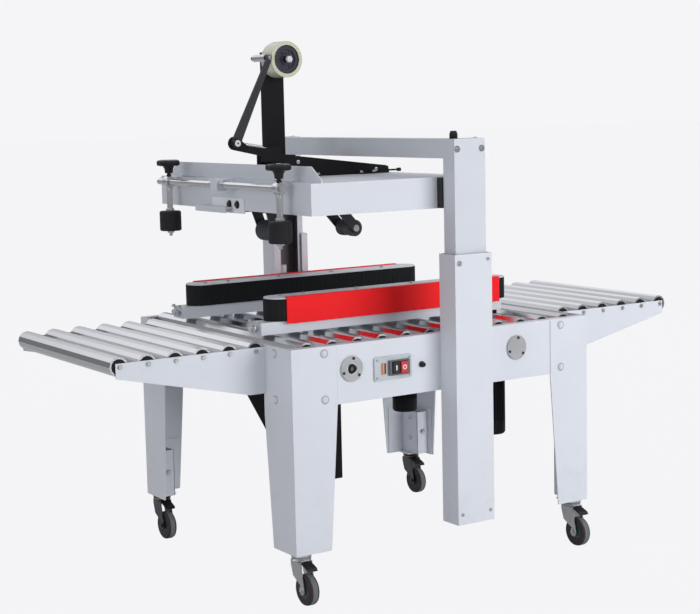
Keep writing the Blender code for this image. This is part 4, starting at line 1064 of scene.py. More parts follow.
@dataclass
class Caster(SubAssembly):
    """One braked swivel caster: bright at the front, dark with a brass race at the rear."""

    side: Side
    end: End
    wheel_radius: float = 0.040
    wheel_half: float = 0.013
    trail: float = 0.026
    fork_half: float = 0.017
    fork_reach: float = 0.0245
    fork_top: float = 0.1110
    sheet: float = 0.0025
    pedal_half: float = 0.0145
    ridges: int = 4

    @property
    def key(self) -> str:
        """The caster's part of the names."""
        return f"{self.side.value}_{self.end.value}"

    def build(self) -> None:
        """Make the fork, the pedal and the wheel."""
        wheel = Extent.of(f"caster_wheel_{self.key}")
        axle = (wheel.x, wheel.y, self.wheel_radius)
        stem = (wheel.x, wheel.y + self.trail, 0.0)
        self.build_fork(axle, stem)
        self.build_pedal(stem)
        self.build_wheel(axle)

    def build_fork(self, axle: Point, stem: Point) -> None:
        """Make the fork and its swivel race.

        Args:
            axle: The wheel's middle.
            stem: The foot of the swivel's axis.
        """
        x, y, _ = stem
        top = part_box(f"leg_inner_{self.key}")[0].z
        bright = self.side is Side.FRONT
        fork = Shape().turned(
            [
                (0.0, 0.110), (0.023, 0.110), (0.025, 0.1125), (0.0225, 0.116), (0.0225, 0.118), (0.0258, 0.121),
                (0.0258, top - 0.001), (0.0, top - 0.0004),
            ],
            stem, Way.Z,
        )
        cheek = [(y + self.fork_reach, self.fork_top), (y + self.fork_reach, 0.098), (y + 0.015, 0.070)]
        cheek += arc(axle[1:], 0.012, 0.35 * math.pi, -1.05 * math.pi, 14)
        cheek += [(y - self.fork_reach, 0.098), (y - self.fork_reach, self.fork_top)]
        for turn, way in ((-1, Way.BACK_X), (1, Way.X)):
            face = x + turn * self.fork_half
            fork.prism(cheek, "X", face - turn * self.sheet, face)
            fork.bolt((face, *axle[1:]), way, 0.011, 0.005)
        fork.plate((x - self.fork_half, y - 0.022, 0.1075), (x + self.fork_half, y + 0.022, self.fork_top))
        fork.rod((x, y, top - 0.001), (x, y, top + 0.007), 0.006)
        self.add(
            f"caster_fork_plate_{self.key}", fork, f"fork_{self.key}", ZINC if bright else DARK_STEEL, Slot.ZINC,
            f"caster_fork_{self.key}",
        )
        race = Shape().turned(
            [(0.0225, 0.1162), (0.0248, 0.1162), (0.0252, 0.1170), (0.0248, 0.1178), (0.0225, 0.1178)],
            stem, Way.Z, closed=True,
        )
        self.add(f"caster_race_{self.key}", race, f"fork_{self.key}", ZINC if bright else BRASS, Slot.ZINC)

    def build_pedal(self, stem: Point) -> None:
        """Make the brake pedal with its ridges.

        Args:
            stem: The foot of the swivel's axis.
        """
        x, y, _ = stem
        half = self.pedal_half
        slope = [
            (y - 0.020, 0.1065), (y - 0.020, 0.1100), (y - 0.050, 0.0985), (y - 0.0535, 0.0915), (y - 0.0500, 0.0925),
            (y - 0.0475, 0.0955),
        ]
        pedal = Shape().prism(slope, "X", x - half, x + half)
        for step in range(self.ridges):
            ridge = (y - 0.026 - 0.006 * step, 0.1082 - 0.0023 * step)
            pedal.rod((x - half + 0.001, *ridge), (x + half - 0.001, *ridge), 0.0014, 8)
        self.add(f"caster_pedal_{self.key}", pedal, f"fork_{self.key}", KNOB, Slot.BLACK)

    def build_wheel(self, axle: Point) -> None:
        """Make the tyre, its tread band, the rim and the hub.

        Args:
            axle: The wheel's middle.
        """
        half, radius = self.wheel_half, self.wheel_radius
        bright = self.side is Side.FRONT
        tyre = [(0.030, half - 0.0015), (0.0355, half), (0.0385, half - 0.002), (radius - 0.0004, half - 0.005)]
        tread = [(0.0385, half - 0.0055), (radius, half - 0.0062)]
        rim = [(0.0215, half - 0.003), (0.0225, half - 0.0010), (0.0295, half - 0.0010), (0.0302, half - 0.002)]
        hub = [
            (0.0050, half - 0.0005), (0.0085, half), (0.0092, half - 0.003), (0.0190, half - 0.004),
            (0.0217, half - 0.0015),
        ]
        for name, profile, sides, finish, slot, stands_for in (
            ("tyre", tyre, 48, TYRE, Slot.TYRE, [f"caster_wheel_{self.key}"]),
            ("tread", tread, 48, TREAD, Slot.TYRE, []),
            ("rim", rim, 40, RIM if bright else RIM_BLACK, Slot.TYRE, []),
            ("hub", hub, 32, HUB_TEAL if bright else RIM_BLACK, Slot.ZINC, []),
        ):
            shape = Shape().turned(mirrored(profile), axle, Way.X, sides, closed=True)
            self.add(f"caster_{name}_{self.key}", shape, f"wheel_{self.key}", finish, slot, *stands_for)


@dataclass
class BeltUnit(SubAssembly):
    """One side belt with its ribs, the fittings on its carriage and its gear motor."""

    side: Side
    belt_half: float = 0.040
    rib_pitch: float = 0.0160
    groove: float = 0.0009
    rail_levels: Pair = (0.6630, 0.6947)
    gear_levels: Pair = (0.5065, 0.5960)
    motor_foot: float = 0.345
    fins: int = 28

    def loop(self, radius: float, pulleys: Pair, centre_y: float) -> list[Pair]:
        """The belt's path round its pulleys with a point at every rib edge.

        Args:
            radius: The distance from the pulleys' axes.
            pulleys: The pulleys' places along X.
            centre_y: The unit's middle.

        Returns:
            The points of the path.
        """
        length = pulleys[1] - pulleys[0]
        straight = max(2, round(length / self.rib_pitch)) * 8
        bend = max(2, round(math.pi * self.belt_half / self.rib_pitch)) * 8
        path = []
        for step in range(straight):
            path.append((pulleys[0] + length * step / straight, centre_y - radius))
        for step in range(bend):
            turn = -math.pi / 2 + math.pi * step / bend
            path.append((pulleys[1] + radius * math.cos(turn), centre_y + radius * math.sin(turn)))
        for step in range(straight):
            path.append((pulleys[1] - length * step / straight, centre_y + radius))
        for step in range(bend):
            turn = math.pi / 2 + math.pi * step / bend
            path.append((pulleys[0] + radius * math.cos(turn), centre_y + radius * math.sin(turn)))
        return path

    def build(self) -> None:
        """Make the belt, the screws and the motor."""
        self.build_belt()
        self.build_fittings()
        self.build_motor()

    def build_belt(self) -> None:
        """Make the ribbed belt in place of the plain loop."""
        key, body = self.side.value, f"carriage_{self.side.value}"
        low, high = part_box(f"belt_{key}")
        centre_y = (low.y + high.y) / 2
        pulleys = (low.x + self.belt_half, high.x - self.belt_half)
        inner = self.loop(self.belt_half - 0.0038, pulleys, centre_y)
        deep = self.loop(self.belt_half - self.groove, pulleys, centre_y)
        proud = self.loop(self.belt_half, pulleys, centre_y)
        outer = [deep[i] if i % 8 == 0 else proud[i] for i in range(len(deep))]
        levels = [low.z + 0.0004, high.z - 0.0004]
        rings = [
            [(a, b, levels[0]) for a, b in inner], [(a, b, levels[0]) for a, b in outer],
            [(a, b, levels[1]) for a, b in outer], [(a, b, levels[1]) for a, b in inner],
        ]
        self.add(f"ribbed_belt_{key}", Shape().rings(rings, closed=True), body, BELTING, Slot.BELT, f"belt_{key}")

    def build_fittings(self) -> None:
        """Make the screws on the top plate and the tension screws at the infeed end."""
        key, body = self.side.value, f"carriage_{self.side.value}"
        rail, belt = Extent.of(f"belt_carriage_{key}"), Extent.of(f"belt_{key}")
        screws = Shape()
        for share in (0.015, 0.12, 0.36, 0.62, 0.88):
            x = belt.low.x + self.belt_half + share * (belt.high.x - belt.low.x - 2 * self.belt_half)
            screws.bolt((x, belt.y - self.side.sign * 0.012, rail.high.z), Way.Z, 0.009, 0.004)
        self.add(f"belt_unit_screws_{key}", screws, body, ZINC, Slot.ZINC)

        tension = Shape()
        start, centre_y = rail.low.x, belt.y
        rail_foot, rail_top = self.rail_levels
        z = (rail_foot + rail_top) / 2
        tension.turned(
            [(0.0, 0.0), (0.0075, 0.0), (0.0085, 0.001), (0.0085, 0.006), (0.0075, 0.007), (0.0, 0.007)],
            (start + 0.004, centre_y, z), Way.X, 6,
        )
        for turn in (-1, 1):
            wing = [
                (centre_y + turn * 0.004, z - 0.004), (centre_y + turn * 0.017, z - 0.007),
                (centre_y + turn * 0.020, z + 0.001), (centre_y + turn * 0.017, z + 0.008),
                (centre_y + turn * 0.004, z + 0.004),
            ]
            tension.prism(wing, "X", start + 0.0045, start + 0.0075)
        for sway in (-0.016, 0.016):
            tension.bolt((start + 0.010, centre_y + sway, rail_top + 0.0001), Way.Z, 0.010, 0.006)
        self.add(f"tension_fittings_{key}", tension, body, CHROME, Slot.CHROME)

    def build_motor(self) -> None:
        """Make the gear motor: a housing, a finned motor, a fan cover and a terminal box."""
        key, body = self.side.value, f"carriage_{self.side.value}"
        box = Extent.of(f"drive_motor_{key}")
        low, high, x, y = box.low, box.high, box.x, box.y
        gear_low, gear_high = self.gear_levels
        motor = Shape()
        motor.plate((low.x, low.y, gear_low), (high.x, high.y, gear_high), 0.003)
        motor.plate((x - 0.006, y - 0.020, gear_high - 0.001), (x + 0.006, y + 0.020, high.z))
        motor.turned(disc_profile(0.0375, 0.010), (x, y, gear_low - 0.0095), Way.Z, 40)
        fins = []
        for turn in range(self.fins * 4):
            angle = math.tau * turn / (self.fins * 4)
            reach = 0.0378 if turn % 4 in (1, 2) else 0.0335
            fins.append((x + reach * math.cos(angle), y + reach * math.sin(angle)))
        motor.prism(fins, "Z", self.motor_foot, gear_low - 0.008)
        cover = [
            (0.0, 0.0), (0.026, 0.0), (0.0345, 0.002), (0.0376, 0.007), (0.0378, 0.036), (0.0365, 0.042),
            (0.0, 0.042),
        ]
        motor.turned(cover, (x, y, low.z + 0.0005), Way.Z, 40)
        self.add(f"gear_motor_{key}", motor, body, BLACK, Slot.BLACK, f"drive_motor_{key}")
        bolts = Shape()
        for dx in (-0.048, 0.048):
            for dz in (gear_low + 0.010, gear_high - 0.010):
                bolts.bolt((x + dx, low.y, dz), Way.BACK_Y, 0.008, 0.004)
                bolts.bolt((x + dx, high.y, dz), Way.Y, 0.008, 0.004)
        self.add(f"gearbox_bolts_{key}", bolts, body, ZINC, Slot.ZINC)


@dataclass
class SwitchBox(SubAssembly):
    """The switch plate with its lamp, its bezel and the marks on the buttons."""

    plate_depth: float = 0.004
    seat: float = 0.0002
    gap: float = 0.0008
    overlap: float = 0.0010

    @property
    def face(self) -> float:
        """The Y of the plate's face."""
        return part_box("switch_box")[1].y - self.plate_depth

    def build(self) -> None:
        """Make the plate, the bezel and the lamp in place of the plain box, and the buttons' marks."""
        self.build_plate()
        self.build_bezel()
        self.build_lamp()
        self.build_marks()

    def build_plate(self) -> None:
        """Make the plate and its corner screws."""
        low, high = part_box("switch_box")
        plate = Shape()
        for inset, depth in ((0.0, self.plate_depth * 0.7), (0.0010, self.plate_depth)):
            outline = rounded((low.x + inset, low.z + inset), (high.x - inset, high.z - inset), 0.006 - inset, 6)
            plate.prism(outline, "Y", high.y, high.y - depth)
        self.add("switch_plate", plate, "frame", SWITCH_GREY, Slot.GREY, "switch_box")
        screws = Shape()
        for x in (low.x + 0.008, high.x - 0.008):
            for z in (low.z + 0.008, high.z - 0.008):
                screws.screw((x, self.face, z), Way.BACK_Y, 0.0030, 0.0014)
        self.add("switch_plate_screws", screws, "frame", ZINC, Slot.ZINC)

    def build_bezel(self) -> None:
        """Make the bezel round the two buttons and the divider between them."""
        start, stop = Extent.of("start_button"), Extent.of("stop_button")
        left, right = start.low.x - 0.008, stop.high.x + 0.008
        bottom, top = start.low.z - 0.0045, start.high.z + 0.0045
        front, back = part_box("switch_box")[0].y, self.face + self.seat
        inner_left, inner_right = start.low.x - self.overlap, stop.high.x + self.overlap
        bars = [
            ((left, bottom), (start.low.x - self.gap, top)),
            ((stop.high.x + self.gap, bottom), (right, top)),
            ((inner_left, bottom), (inner_right, start.low.z - self.gap)),
            ((inner_left, start.high.z + self.gap), (inner_right, top)),
        ]
        bezel = Shape()
        for (x0, z0), (x1, z1) in bars:
            bezel.plate((x0, front, z0), (x1, back, z1))
        self.add("button_bezel", bezel, "frame", BEZEL_GREY, Slot.GREY)
        divider = Shape().plate(
            (start.high.x + self.gap, front + 0.001, start.low.z - self.overlap),
            (stop.low.x - self.gap, back, start.high.z + self.overlap), 0.0005,
        )
        self.add("button_divider", divider, "frame", BEZEL, Slot.GREY)

    def build_lamp(self) -> None:
        """Make the lamp's lens and its dark side."""
        lens = Shape().plate((-0.2140, self.face - 0.0034, 0.5590), (-0.2063, self.face + self.seat, 0.5885), 0.0010)
        self.add("lamp_lens", lens, "frame", COPPER, Slot.SIGNAL)
        side = Shape().plate((-0.2061, self.face - 0.0022, 0.5600), (-0.2015, self.face + self.seat, 0.5875), 0.0006)
        self.add("lamp_side", side, "frame", BEZEL, Slot.GREY)

    def build_marks(self) -> None:
        """Make the bar on the start button and the ring on the stop button."""
        start, stop = Extent.of("start_button"), Extent.of("stop_button")
        bar = Shape().plate(
            (start.x - 0.0020, start.low.y - 0.0006, start.z - 0.0065),
            (start.x + 0.0020, start.low.y, start.z + 0.0065), 0.0002,
        )
        self.add("start_mark", bar, "start_button", MARK, Slot.GREY)
        ring = Shape().turned(
            ring_profile(0.0036, 0.0064, 0.0006), (stop.x, stop.low.y, start.z), Way.BACK_Y, 28, closed=True,
        )
        self.add("stop_mark", ring, "stop_button", MARK, Slot.GREY)


@dataclass
class PanelFittings(SubAssembly):
    """Covers, knobs and bolts on the panels, legs and roller tables."""

    flange_radius: float = 0.0330
    cap_radius: float = 0.0190
    rollers: range = range(1, 7)
    bed_rollers: int = 12
    bed_pitch: float = 0.0755
    bed_reach: float = 0.3927
    axle_z: float = 0.634
    panel_face: float = 0.4202
    end_face: float = 0.4767
    bolt_levels: Pair = (0.630, 0.514)
    cover_z: float = 0.584
    crank_x: float = -0.302
    cover_depth: float = 0.0012
    seam: Pair = (0.3440, 0.3460)
    dome: tuple[Pair, ...] = ((0.0, 0.0050), (0.0044, 0.0045), (0.0078, 0.0026), (0.0096, 0.0), (0.0, 0.0))

    def build(self) -> None:
        """Make the covers, the fuse knob, the bolts, the axle nuts, the roller caps and the leg channels."""
        self.build_covers()
        self.build_fuse_knob()
        self.build_bolts()
        self.build_axle_nuts()
        self.build_caps()
        for side in Side:
            for end in End:
                self.build_channel(side, end)

    def build_covers(self) -> None:
        """Make the round covers of the front panel and the ring of the crank socket."""
        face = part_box("side_panel_front")[0].y
        covers, screws = Shape(), Shape()
        rim = [(self.flange_radius, 0.0), (self.flange_radius - 0.001, self.cover_depth)]
        for x, inner in ((self.crank_x, 0.0155), (0.2265, 0.0)):
            profile = [(inner, 0.0), *rim, (inner, self.cover_depth)]
            covers.turned(profile, (x, face, self.cover_z), Way.BACK_Y, 40, closed=inner > 0.0)
            for turn in (80, 200, 320):
                angle = math.radians(turn)
                spot = (
                    x + 0.0265 * math.cos(angle), face - self.cover_depth, self.cover_z + 0.0265 * math.sin(angle),
                )
                screws.screw(spot, Way.BACK_Y, 0.0040, 0.0024)
        self.add("panel_covers", covers, "frame", ZINC, Slot.ZINC)
        self.add("cover_screws", screws, "frame", DARK_STEEL, Slot.ZINC)
        socket = Shape().turned(
            [(0.0062, 0.0), (0.0135, 0.0), (0.0135, 0.0015), (0.0118, 0.0034), (0.0062, 0.0034)],
            (self.crank_x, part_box("width_screw")[0].y, self.cover_z), Way.BACK_Y, 32, closed=True, lobes=3,
            lobe_depth=0.16,
        )
        self.add("crank_socket_ring", socket, "width_screw", SOCKET, Slot.BLACK)

    def build_fuse_knob(self) -> None:
        """Make the small ribbed knob beside the switch."""
        knob = Shape().turned(
            [
                (0.0, 0.0), (0.0085, 0.0), (0.0085, 0.002), (0.0070, 0.003), (0.0066, 0.009), (0.0058, 0.0105),
                (0.0, 0.0108),
            ],
            (-0.086, -0.4203, 0.572), Way.BACK_Y, 24, lobes=8, lobe_depth=0.06,
        )
        self.add("fuse_knob", knob, "frame", KNOB, Slot.BLACK)

    def build_bolts(self) -> None:
        """Make the domed bolts, with painted shade in the gaps round them and along the panels' seams."""
        spots = [
            ((x, side.sign * self.panel_face, z), side.outward)
            for side in Side for x in (-0.382, 0.382) for z in self.bolt_levels
        ]
        spots += [
            ((end.sign * self.end_face, y, z), end.outward)
            for end in End for y in (-0.338, 0.338) for z in self.bolt_levels
        ]
        bolts, shade_marks = Shape(), Shape()
        # Painted shade: a grey ring round each dome and a grey strip on each seam stand in for the shade in the gaps.
        for spot, way in spots:
            bolts.turned(self.dome, spot, way, 24)
            shade_marks.turned(ring_profile(0.0094, 0.0108, 0.0004), spot, way, 24, closed=True)
        for side in Side:
            face = side.sign * self.panel_face
            low_y, high_y = sorted((face, face - side.sign * 0.002))
            shade_marks.plate((self.seam[0], low_y, 0.499), (self.seam[1], high_y, 0.645), 0.0002)
        self.add("panel_bolts", bolts, "frame", BOLT_WHITE, Slot.WHITE)
        self.add("panel_gap_shade", shade_marks, "frame", GAP_SHADE, Slot.BLACK)

    def build_axle_nuts(self) -> None:
        """Make the nuts on the roller tables' axles."""
        nuts = Shape()
        for end in End:
            low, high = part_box(f"{end.value}_frame")
            for number in self.rollers:
                x = Extent.of(f"{end.value}_roller_{number}").x
                for y, way in ((low.y, Way.BACK_Y), (high.y, Way.Y)):
                    nuts.turned(ring_profile(0.0043, 0.0068, 0.0018), (x, y, self.axle_z), way, 6, closed=True)
        self.add("axle_nuts", nuts, "frame", ZINC, Slot.ZINC)

    def tube_ends(self, node: str) -> Pair:
        """Where a roller's tube starts and ends along Y.

        Args:
            node: The roller's node.

        Returns:
            The lowest and the highest Y of the tube.
        """
        roller = Extent.of(node)
        reach = [
            vertex.co.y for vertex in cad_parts[node].data.vertices
            if math.hypot(vertex.co.x - roller.x, vertex.co.z - roller.z) > 0.8 * (roller.high.z - roller.low.z) / 2
        ]
        return min(reach), max(reach)

    def cap(self, shape: Shape, x: float, ends: Pair) -> None:
        """Add the two end caps of a roller, with their bearing rings, to a shape.

        Args:
            shape: The shape that gets them.
            x: The roller's place.
            ends: Where its tube starts and ends along Y.
        """
        profile = [
            (0.0046, 0.0002), (self.cap_radius, 0.0002), (self.cap_radius, 0.0011), (0.0120, 0.0007),
            (0.0046, 0.0014),
        ]
        for y, way in zip(ends, (Way.BACK_Y, Way.Y)):
            shape.turned(profile, (x, y, self.axle_z), way, 32, closed=True)

    def build_caps(self) -> None:
        """Make the end caps of every roller."""
        for end in End:
            for number in self.rollers:
                node = f"{end.value}_roller_{number}"
                caps = Shape()
                self.cap(caps, Extent.of(node).x, self.tube_ends(node))
                self.add(f"{node}_caps", caps, node, SOCKET, Slot.BLACK)
        bed_caps = Shape()
        for number in range(self.bed_rollers):
            x = (number - (self.bed_rollers - 1) / 2) * self.bed_pitch
            self.cap(bed_caps, x, (-self.bed_reach, self.bed_reach))
        self.add("bed_roller_caps", bed_caps, "frame", SOCKET, Slot.BLACK)

    def build_channel(self, side: Side, end: End) -> None:
        """Close the inner angle of a leg to a channel and add its clamp bolts.

        Args:
            side: The side the leg is on.
            end: The end the leg is at.
        """
        key = f"{side.value}_{end.value}"
        near, far = end.sign * 0.4300, end.sign * 0.4701
        inner, outer = side.sign * 0.3330, side.sign * 0.4136
        channel = Shape()
        for x_span, y_span in (
            ((near, far), (inner, inner + side.sign * 0.003)), ((near, near + end.sign * 0.003), (inner, outer)),
        ):
            channel.plate((min(x_span), min(y_span), 0.1313), (max(x_span), max(y_span), 0.2660))
        self.add(f"leg_channel_{key}", channel, f"leg_{key}", LEG_WHITE, Slot.WHITE)
        clamp = Shape().bolt((end.sign * 0.450, inner, 0.203), side.inward, 0.012, 0.006)
        for z in (0.180, 0.246):
            clamp.bolt((near, side.sign * 0.372, z), end.inward, 0.012, 0.006)
        self.add(f"leg_clamp_bolts_{key}", clamp, f"leg_{key}", CHROME, Slot.CHROME)


@dataclass
class MastFittings(SubAssembly):
    """Bolts on the columns, the caps over the crank stubs and the bolts of the crossbeam."""

    bolt_size: float = 0.012
    top: float = 1.148
    stub: Pair = (0.001, 0.4541)
    sleeve_face: float = 0.4883
    sleeve_edges: Pair = (-0.0110, 0.080)

    def build(self) -> None:
        """Make the bolts and the caps."""
        mast = Extent.of("mast")
        bolts, caps, sleeve = Shape(), Shape(), Shape()
        for side, y in ((Side.FRONT, mast.low.y), (Side.REAR, mast.high.y)):
            for x in (-0.0060, 0.0720):
                bolts.bolt((x, y, 1.122), side.outward, self.bolt_size, 0.004)
            for x in (-0.004, 0.072):
                bolts.screw((x, side.sign * 0.452, self.top), Way.Z, 0.005, 0.003)
            caps.turned(
                [(0.0, 0.0), (0.0105, 0.0), (0.0105, 0.012), (0.0090, 0.0165), (0.0075, 0.0200), (0.0, 0.0200)],
                (self.stub[0], side.sign * self.stub[1], self.top), Way.Z, 28,
            )
            face = side.sign * self.sleeve_face
            near, far = self.sleeve_edges
            sleeve.bolt((near, face, 0.832), side.outward, 0.010, 0.0032)
            for x, z in ((far, 0.838), (near, 0.175), (far, 0.175)):
                sleeve.screw((x, face, z), side.outward, 0.005, 0.002)
        self.add("mast_bolts", bolts, "mast", ZINC, Slot.ZINC)
        self.add("crank_caps", caps, "mast", KNOB, Slot.BLACK)
        self.add("sleeve_bolts", sleeve, "frame", ZINC, Slot.ZINC)


@dataclass
class HeadFittings(SubAssembly):
    """Bolts and dark slots on the head's tray, the slots painted shade, and the face of the guide bracket, lighter as
    a painted highlight.
    """

    lip_x: float = -0.384
    tray_top: float = 1.0500
    slot_length: float = 0.060
    guide_face: Pair = (-0.4036, -0.4028)

    def build(self) -> None:
        """Make the guide's face and nuts, the bolts, and dark patches in the slots as painted shade."""
        guide_nuts = Shape()
        for y in (-0.042, 0.000):
            guide_nuts.bolt((-0.403, y, 0.985), Way.BACK_X, 0.015, 0.007)
        self.add("guide_nuts", guide_nuts, "head", DARK_STEEL, Slot.BLACK)
        # Painted highlight: the guide bracket's face is made lighter than the head's white paint.
        guide = Shape()
        for (y0, z0), (y1, z1) in (((-0.0755, 0.9625), (-0.0205, 1.0015)), ((-0.0205, 0.9790), (0.0975, 1.0015))):
            guide.plate((self.guide_face[0], y0, z0), (self.guide_face[1], y1, z1), 0.0002)
        self.add("guide_face", guide, "head", GUIDE_WHITE_LIT, Slot.WHITE)
        bolts = Shape()
        for y in (-0.300, -0.210, 0.200, 0.300):
            bolts.bolt((self.lip_x, y, self.tray_top), Way.Z, 0.009, 0.004)
        for x in (-0.200, -0.160, -0.020, 0.020):
            for side in Side:
                bolts.bolt((x, side.sign * 0.0585, 1.0545), Way.Z, 0.009, 0.005)
        self.add("head_bolts", bolts, "head", CHROME, Slot.CHROME)
        # Painted shade: flat dark patches stand in for the shade seen through the tray's slots.
        slots = Shape()
        for y in (-0.255, 0.255):
            outline = link((self.lip_x, y - self.slot_length / 2), (self.lip_x, y + self.slot_length / 2), 0.005)
            slots.prism(outline, "Z", self.tray_top, self.tray_top + 0.0004)
        self.add("tray_slot_shade", slots, "head", SOCKET, Slot.BLACK)


@dataclass
class Presser(SubAssembly):
    """One presser: an eye on the tube, its rod and roller, and the lobed clamping knob."""

    side: Side
    eye_radius: float = 0.0165
    bore: float = 0.0096
    eye_half: float = 0.011

    def build(self) -> None:
        """Make the slider, the knob and the roller."""
        roller = Extent.of(f"presser_roller_{self.side.value}")
        self.build_slider(roller)
        self.build_knob(roller)
        self.build_roller(roller)

    def build_slider(self, roller: Extent) -> None:
        """Make the eye on the tube with the rod that carries the roller.

        Args:
            roller: The box of the roller.
        """
        x, y, low, high = roller.x, roller.y, roller.low.z, roller.high.z
        tube_z = Extent.of("presser_tube").z
        half, ease = self.eye_half, 0.0015
        eye = [(self.bore, -half), (self.eye_radius - ease, -half), (self.eye_radius, ease - half)]
        slider = Shape().turned(mirrored(eye), (x, y, tube_z), Way.Y, 40, closed=True)
        slider.turned(
            [
                (0.0, high), (0.0115, high + 0.0004), (0.0115, high + 0.0065), (0.0100, high + 0.0075),
                (0.0080, high + 0.0085), (0.0080, tube_z - 0.026), (0.0086, tube_z - 0.020),
                (0.0094, tube_z - 0.0125), (0.0, tube_z - 0.0120),
            ],
            (x, y, 0.0), Way.Z,
        )
        slider.rod((x, y, low - 0.006), (x, y, low + 0.004), 0.0095)
        slider.rod((x, y, low - 0.0145), (x, y, low - 0.005), 0.0045)
        body = f"presser_slider_{self.side.value}"
        self.add(f"presser_eye_{self.side.value}", slider, body, CHROME, Slot.CHROME, body)

    def build_knob(self, roller: Extent) -> None:
        """Make the clamping knob, with its neck and its cap.

        Args:
            roller: The box of the roller below it.
        """
        foot = (roller.x, roller.y, 0.0)
        tube_z = Extent.of("presser_tube").z
        body = f"presser_slider_{self.side.value}"
        neck = [
            (0.0, tube_z + 0.0140), (0.0070, tube_z + 0.0145), (0.0070, tube_z + 0.0190), (0.0060, tube_z + 0.0205),
            (0.0052, tube_z + 0.0210), (0.0052, 1.0632), (0.0, 1.0632),
        ]
        cone = [(0.0, 1.0620), (0.0095, 1.0620), (0.0110, 1.0635), (0.0122, 1.0740), (0.0170, 1.0825), (0.0, 1.0850)]
        disc = [
            (0.0, 1.0815), (0.0250, 1.0820), (0.0310, 1.0836), (0.0330, 1.0862), (0.0330, 1.0935), (0.0312, 1.0970),
            (0.0250, 1.0990), (0.0, 1.0990),
        ]
        knob = Shape().turned(neck, foot, Way.Z, 24).turned(cone, foot, Way.Z)
        knob.turned(disc, foot, Way.Z, 84, lobes=7, lobe_depth=0.08)
        self.add(f"clamping_knob_{self.side.value}", knob, body, KNOB, Slot.BLACK)
        cap = Shape().turned(
            [(0.0, 0.0), (0.006, 0.0), (0.006, 0.0006), (0.005, 0.0014), (0.0, 0.0018)],
            (roller.x, roller.y, 1.0984), Way.Z, 24,
        )
        self.add(f"knob_cap_{self.side.value}", cap, body, CHROME, Slot.CHROME)

    def build_roller(self, roller: Extent) -> None:
        """Make the rubber roller.

        Args:
            roller: The box of the plain roller.
        """
        node = f"presser_roller_{self.side.value}"
        foot, top, radius = roller.low.z, roller.high.z, (roller.high.x - roller.low.x) / 2
        shape = Shape().turned(
            [
                (0.0092, foot + 0.002), (0.013, foot + 0.002), (0.013, foot), (radius - 0.0025, foot),
                (radius, foot + 0.003), (radius, top - 0.003), (radius - 0.0025, top), (0.013, top),
                (0.013, top - 0.002), (0.0092, top - 0.002),
            ],
            (roller.x, roller.y, 0.0), Way.Z, 56, closed=True,
        )
        self.add(f"rubber_roller_{self.side.value}", shape, node, RUBBER, Slot.RUBBER, node)


@dataclass
class RollerArm(SubAssembly):
    """A pair of arm plates in the upper taping head, with the roller that lays or wipes the tape."""

    name: str
    pivot: Pair
    roller: Pair
    radius: float
    grooves: int
    outer: float = 0.040
    sheet: float = 0.004
    half: float = 0.034

    def build(self) -> None:
        """Make the arm plates, the axle caps and the roller."""
        x, z = self.roller
        plates, caps = Shape(), Shape()
        outline = link(self.pivot, self.roller, 0.014)
        for side in Side:
            face = side.sign * self.outer
            plates.prism(outline, "Y", side.sign * (self.outer - self.sheet), face)
            caps.turned(
                [(0.0, 0.0), (0.0095, 0.0), (0.0090, 0.0005), (0.0, 0.0006)], (x, face, z), side.outward, 24,
            )
        plates.rod((x, -self.outer + 0.001, z), (x, self.outer - 0.001, z), 0.005)
        arm = f"{self.name}_arm"
        self.add(f"{self.name}_plates", plates, arm, ARM_GREY, Slot.BLACK, arm)
        self.add(f"{self.name}_axle_caps", caps, arm, ZINC, Slot.ZINC)
        roller = Shape().turned(self.grooved(), (x, 0.0, z), Way.Y, 48, closed=True)
        self.add(f"{self.name}_roller", roller, arm, ROLLER_GREY, Slot.RUBBER)

    def grooved(self) -> list[Pair]:
        """The profile of the grooved roller.

        Returns:
            The profile, to be closed.
        """
        half, radius = self.half, self.radius
        profile = [(0.0055, -half), (radius - 0.001, -half), (radius, -half + 0.001)]
        pitch = (2 * half - 0.004) / self.grooves
        for number in range(self.grooves):
            start = -half + 0.002 + number * pitch
            profile += [
                (radius, start + 0.30 * pitch), (radius - 0.0016, start + 0.42 * pitch),
                (radius - 0.0016, start + 0.58 * pitch), (radius, start + 0.70 * pitch),
            ]
        return profile + [(radius, half - 0.001), (radius - 0.001, half), (0.0055, half)]


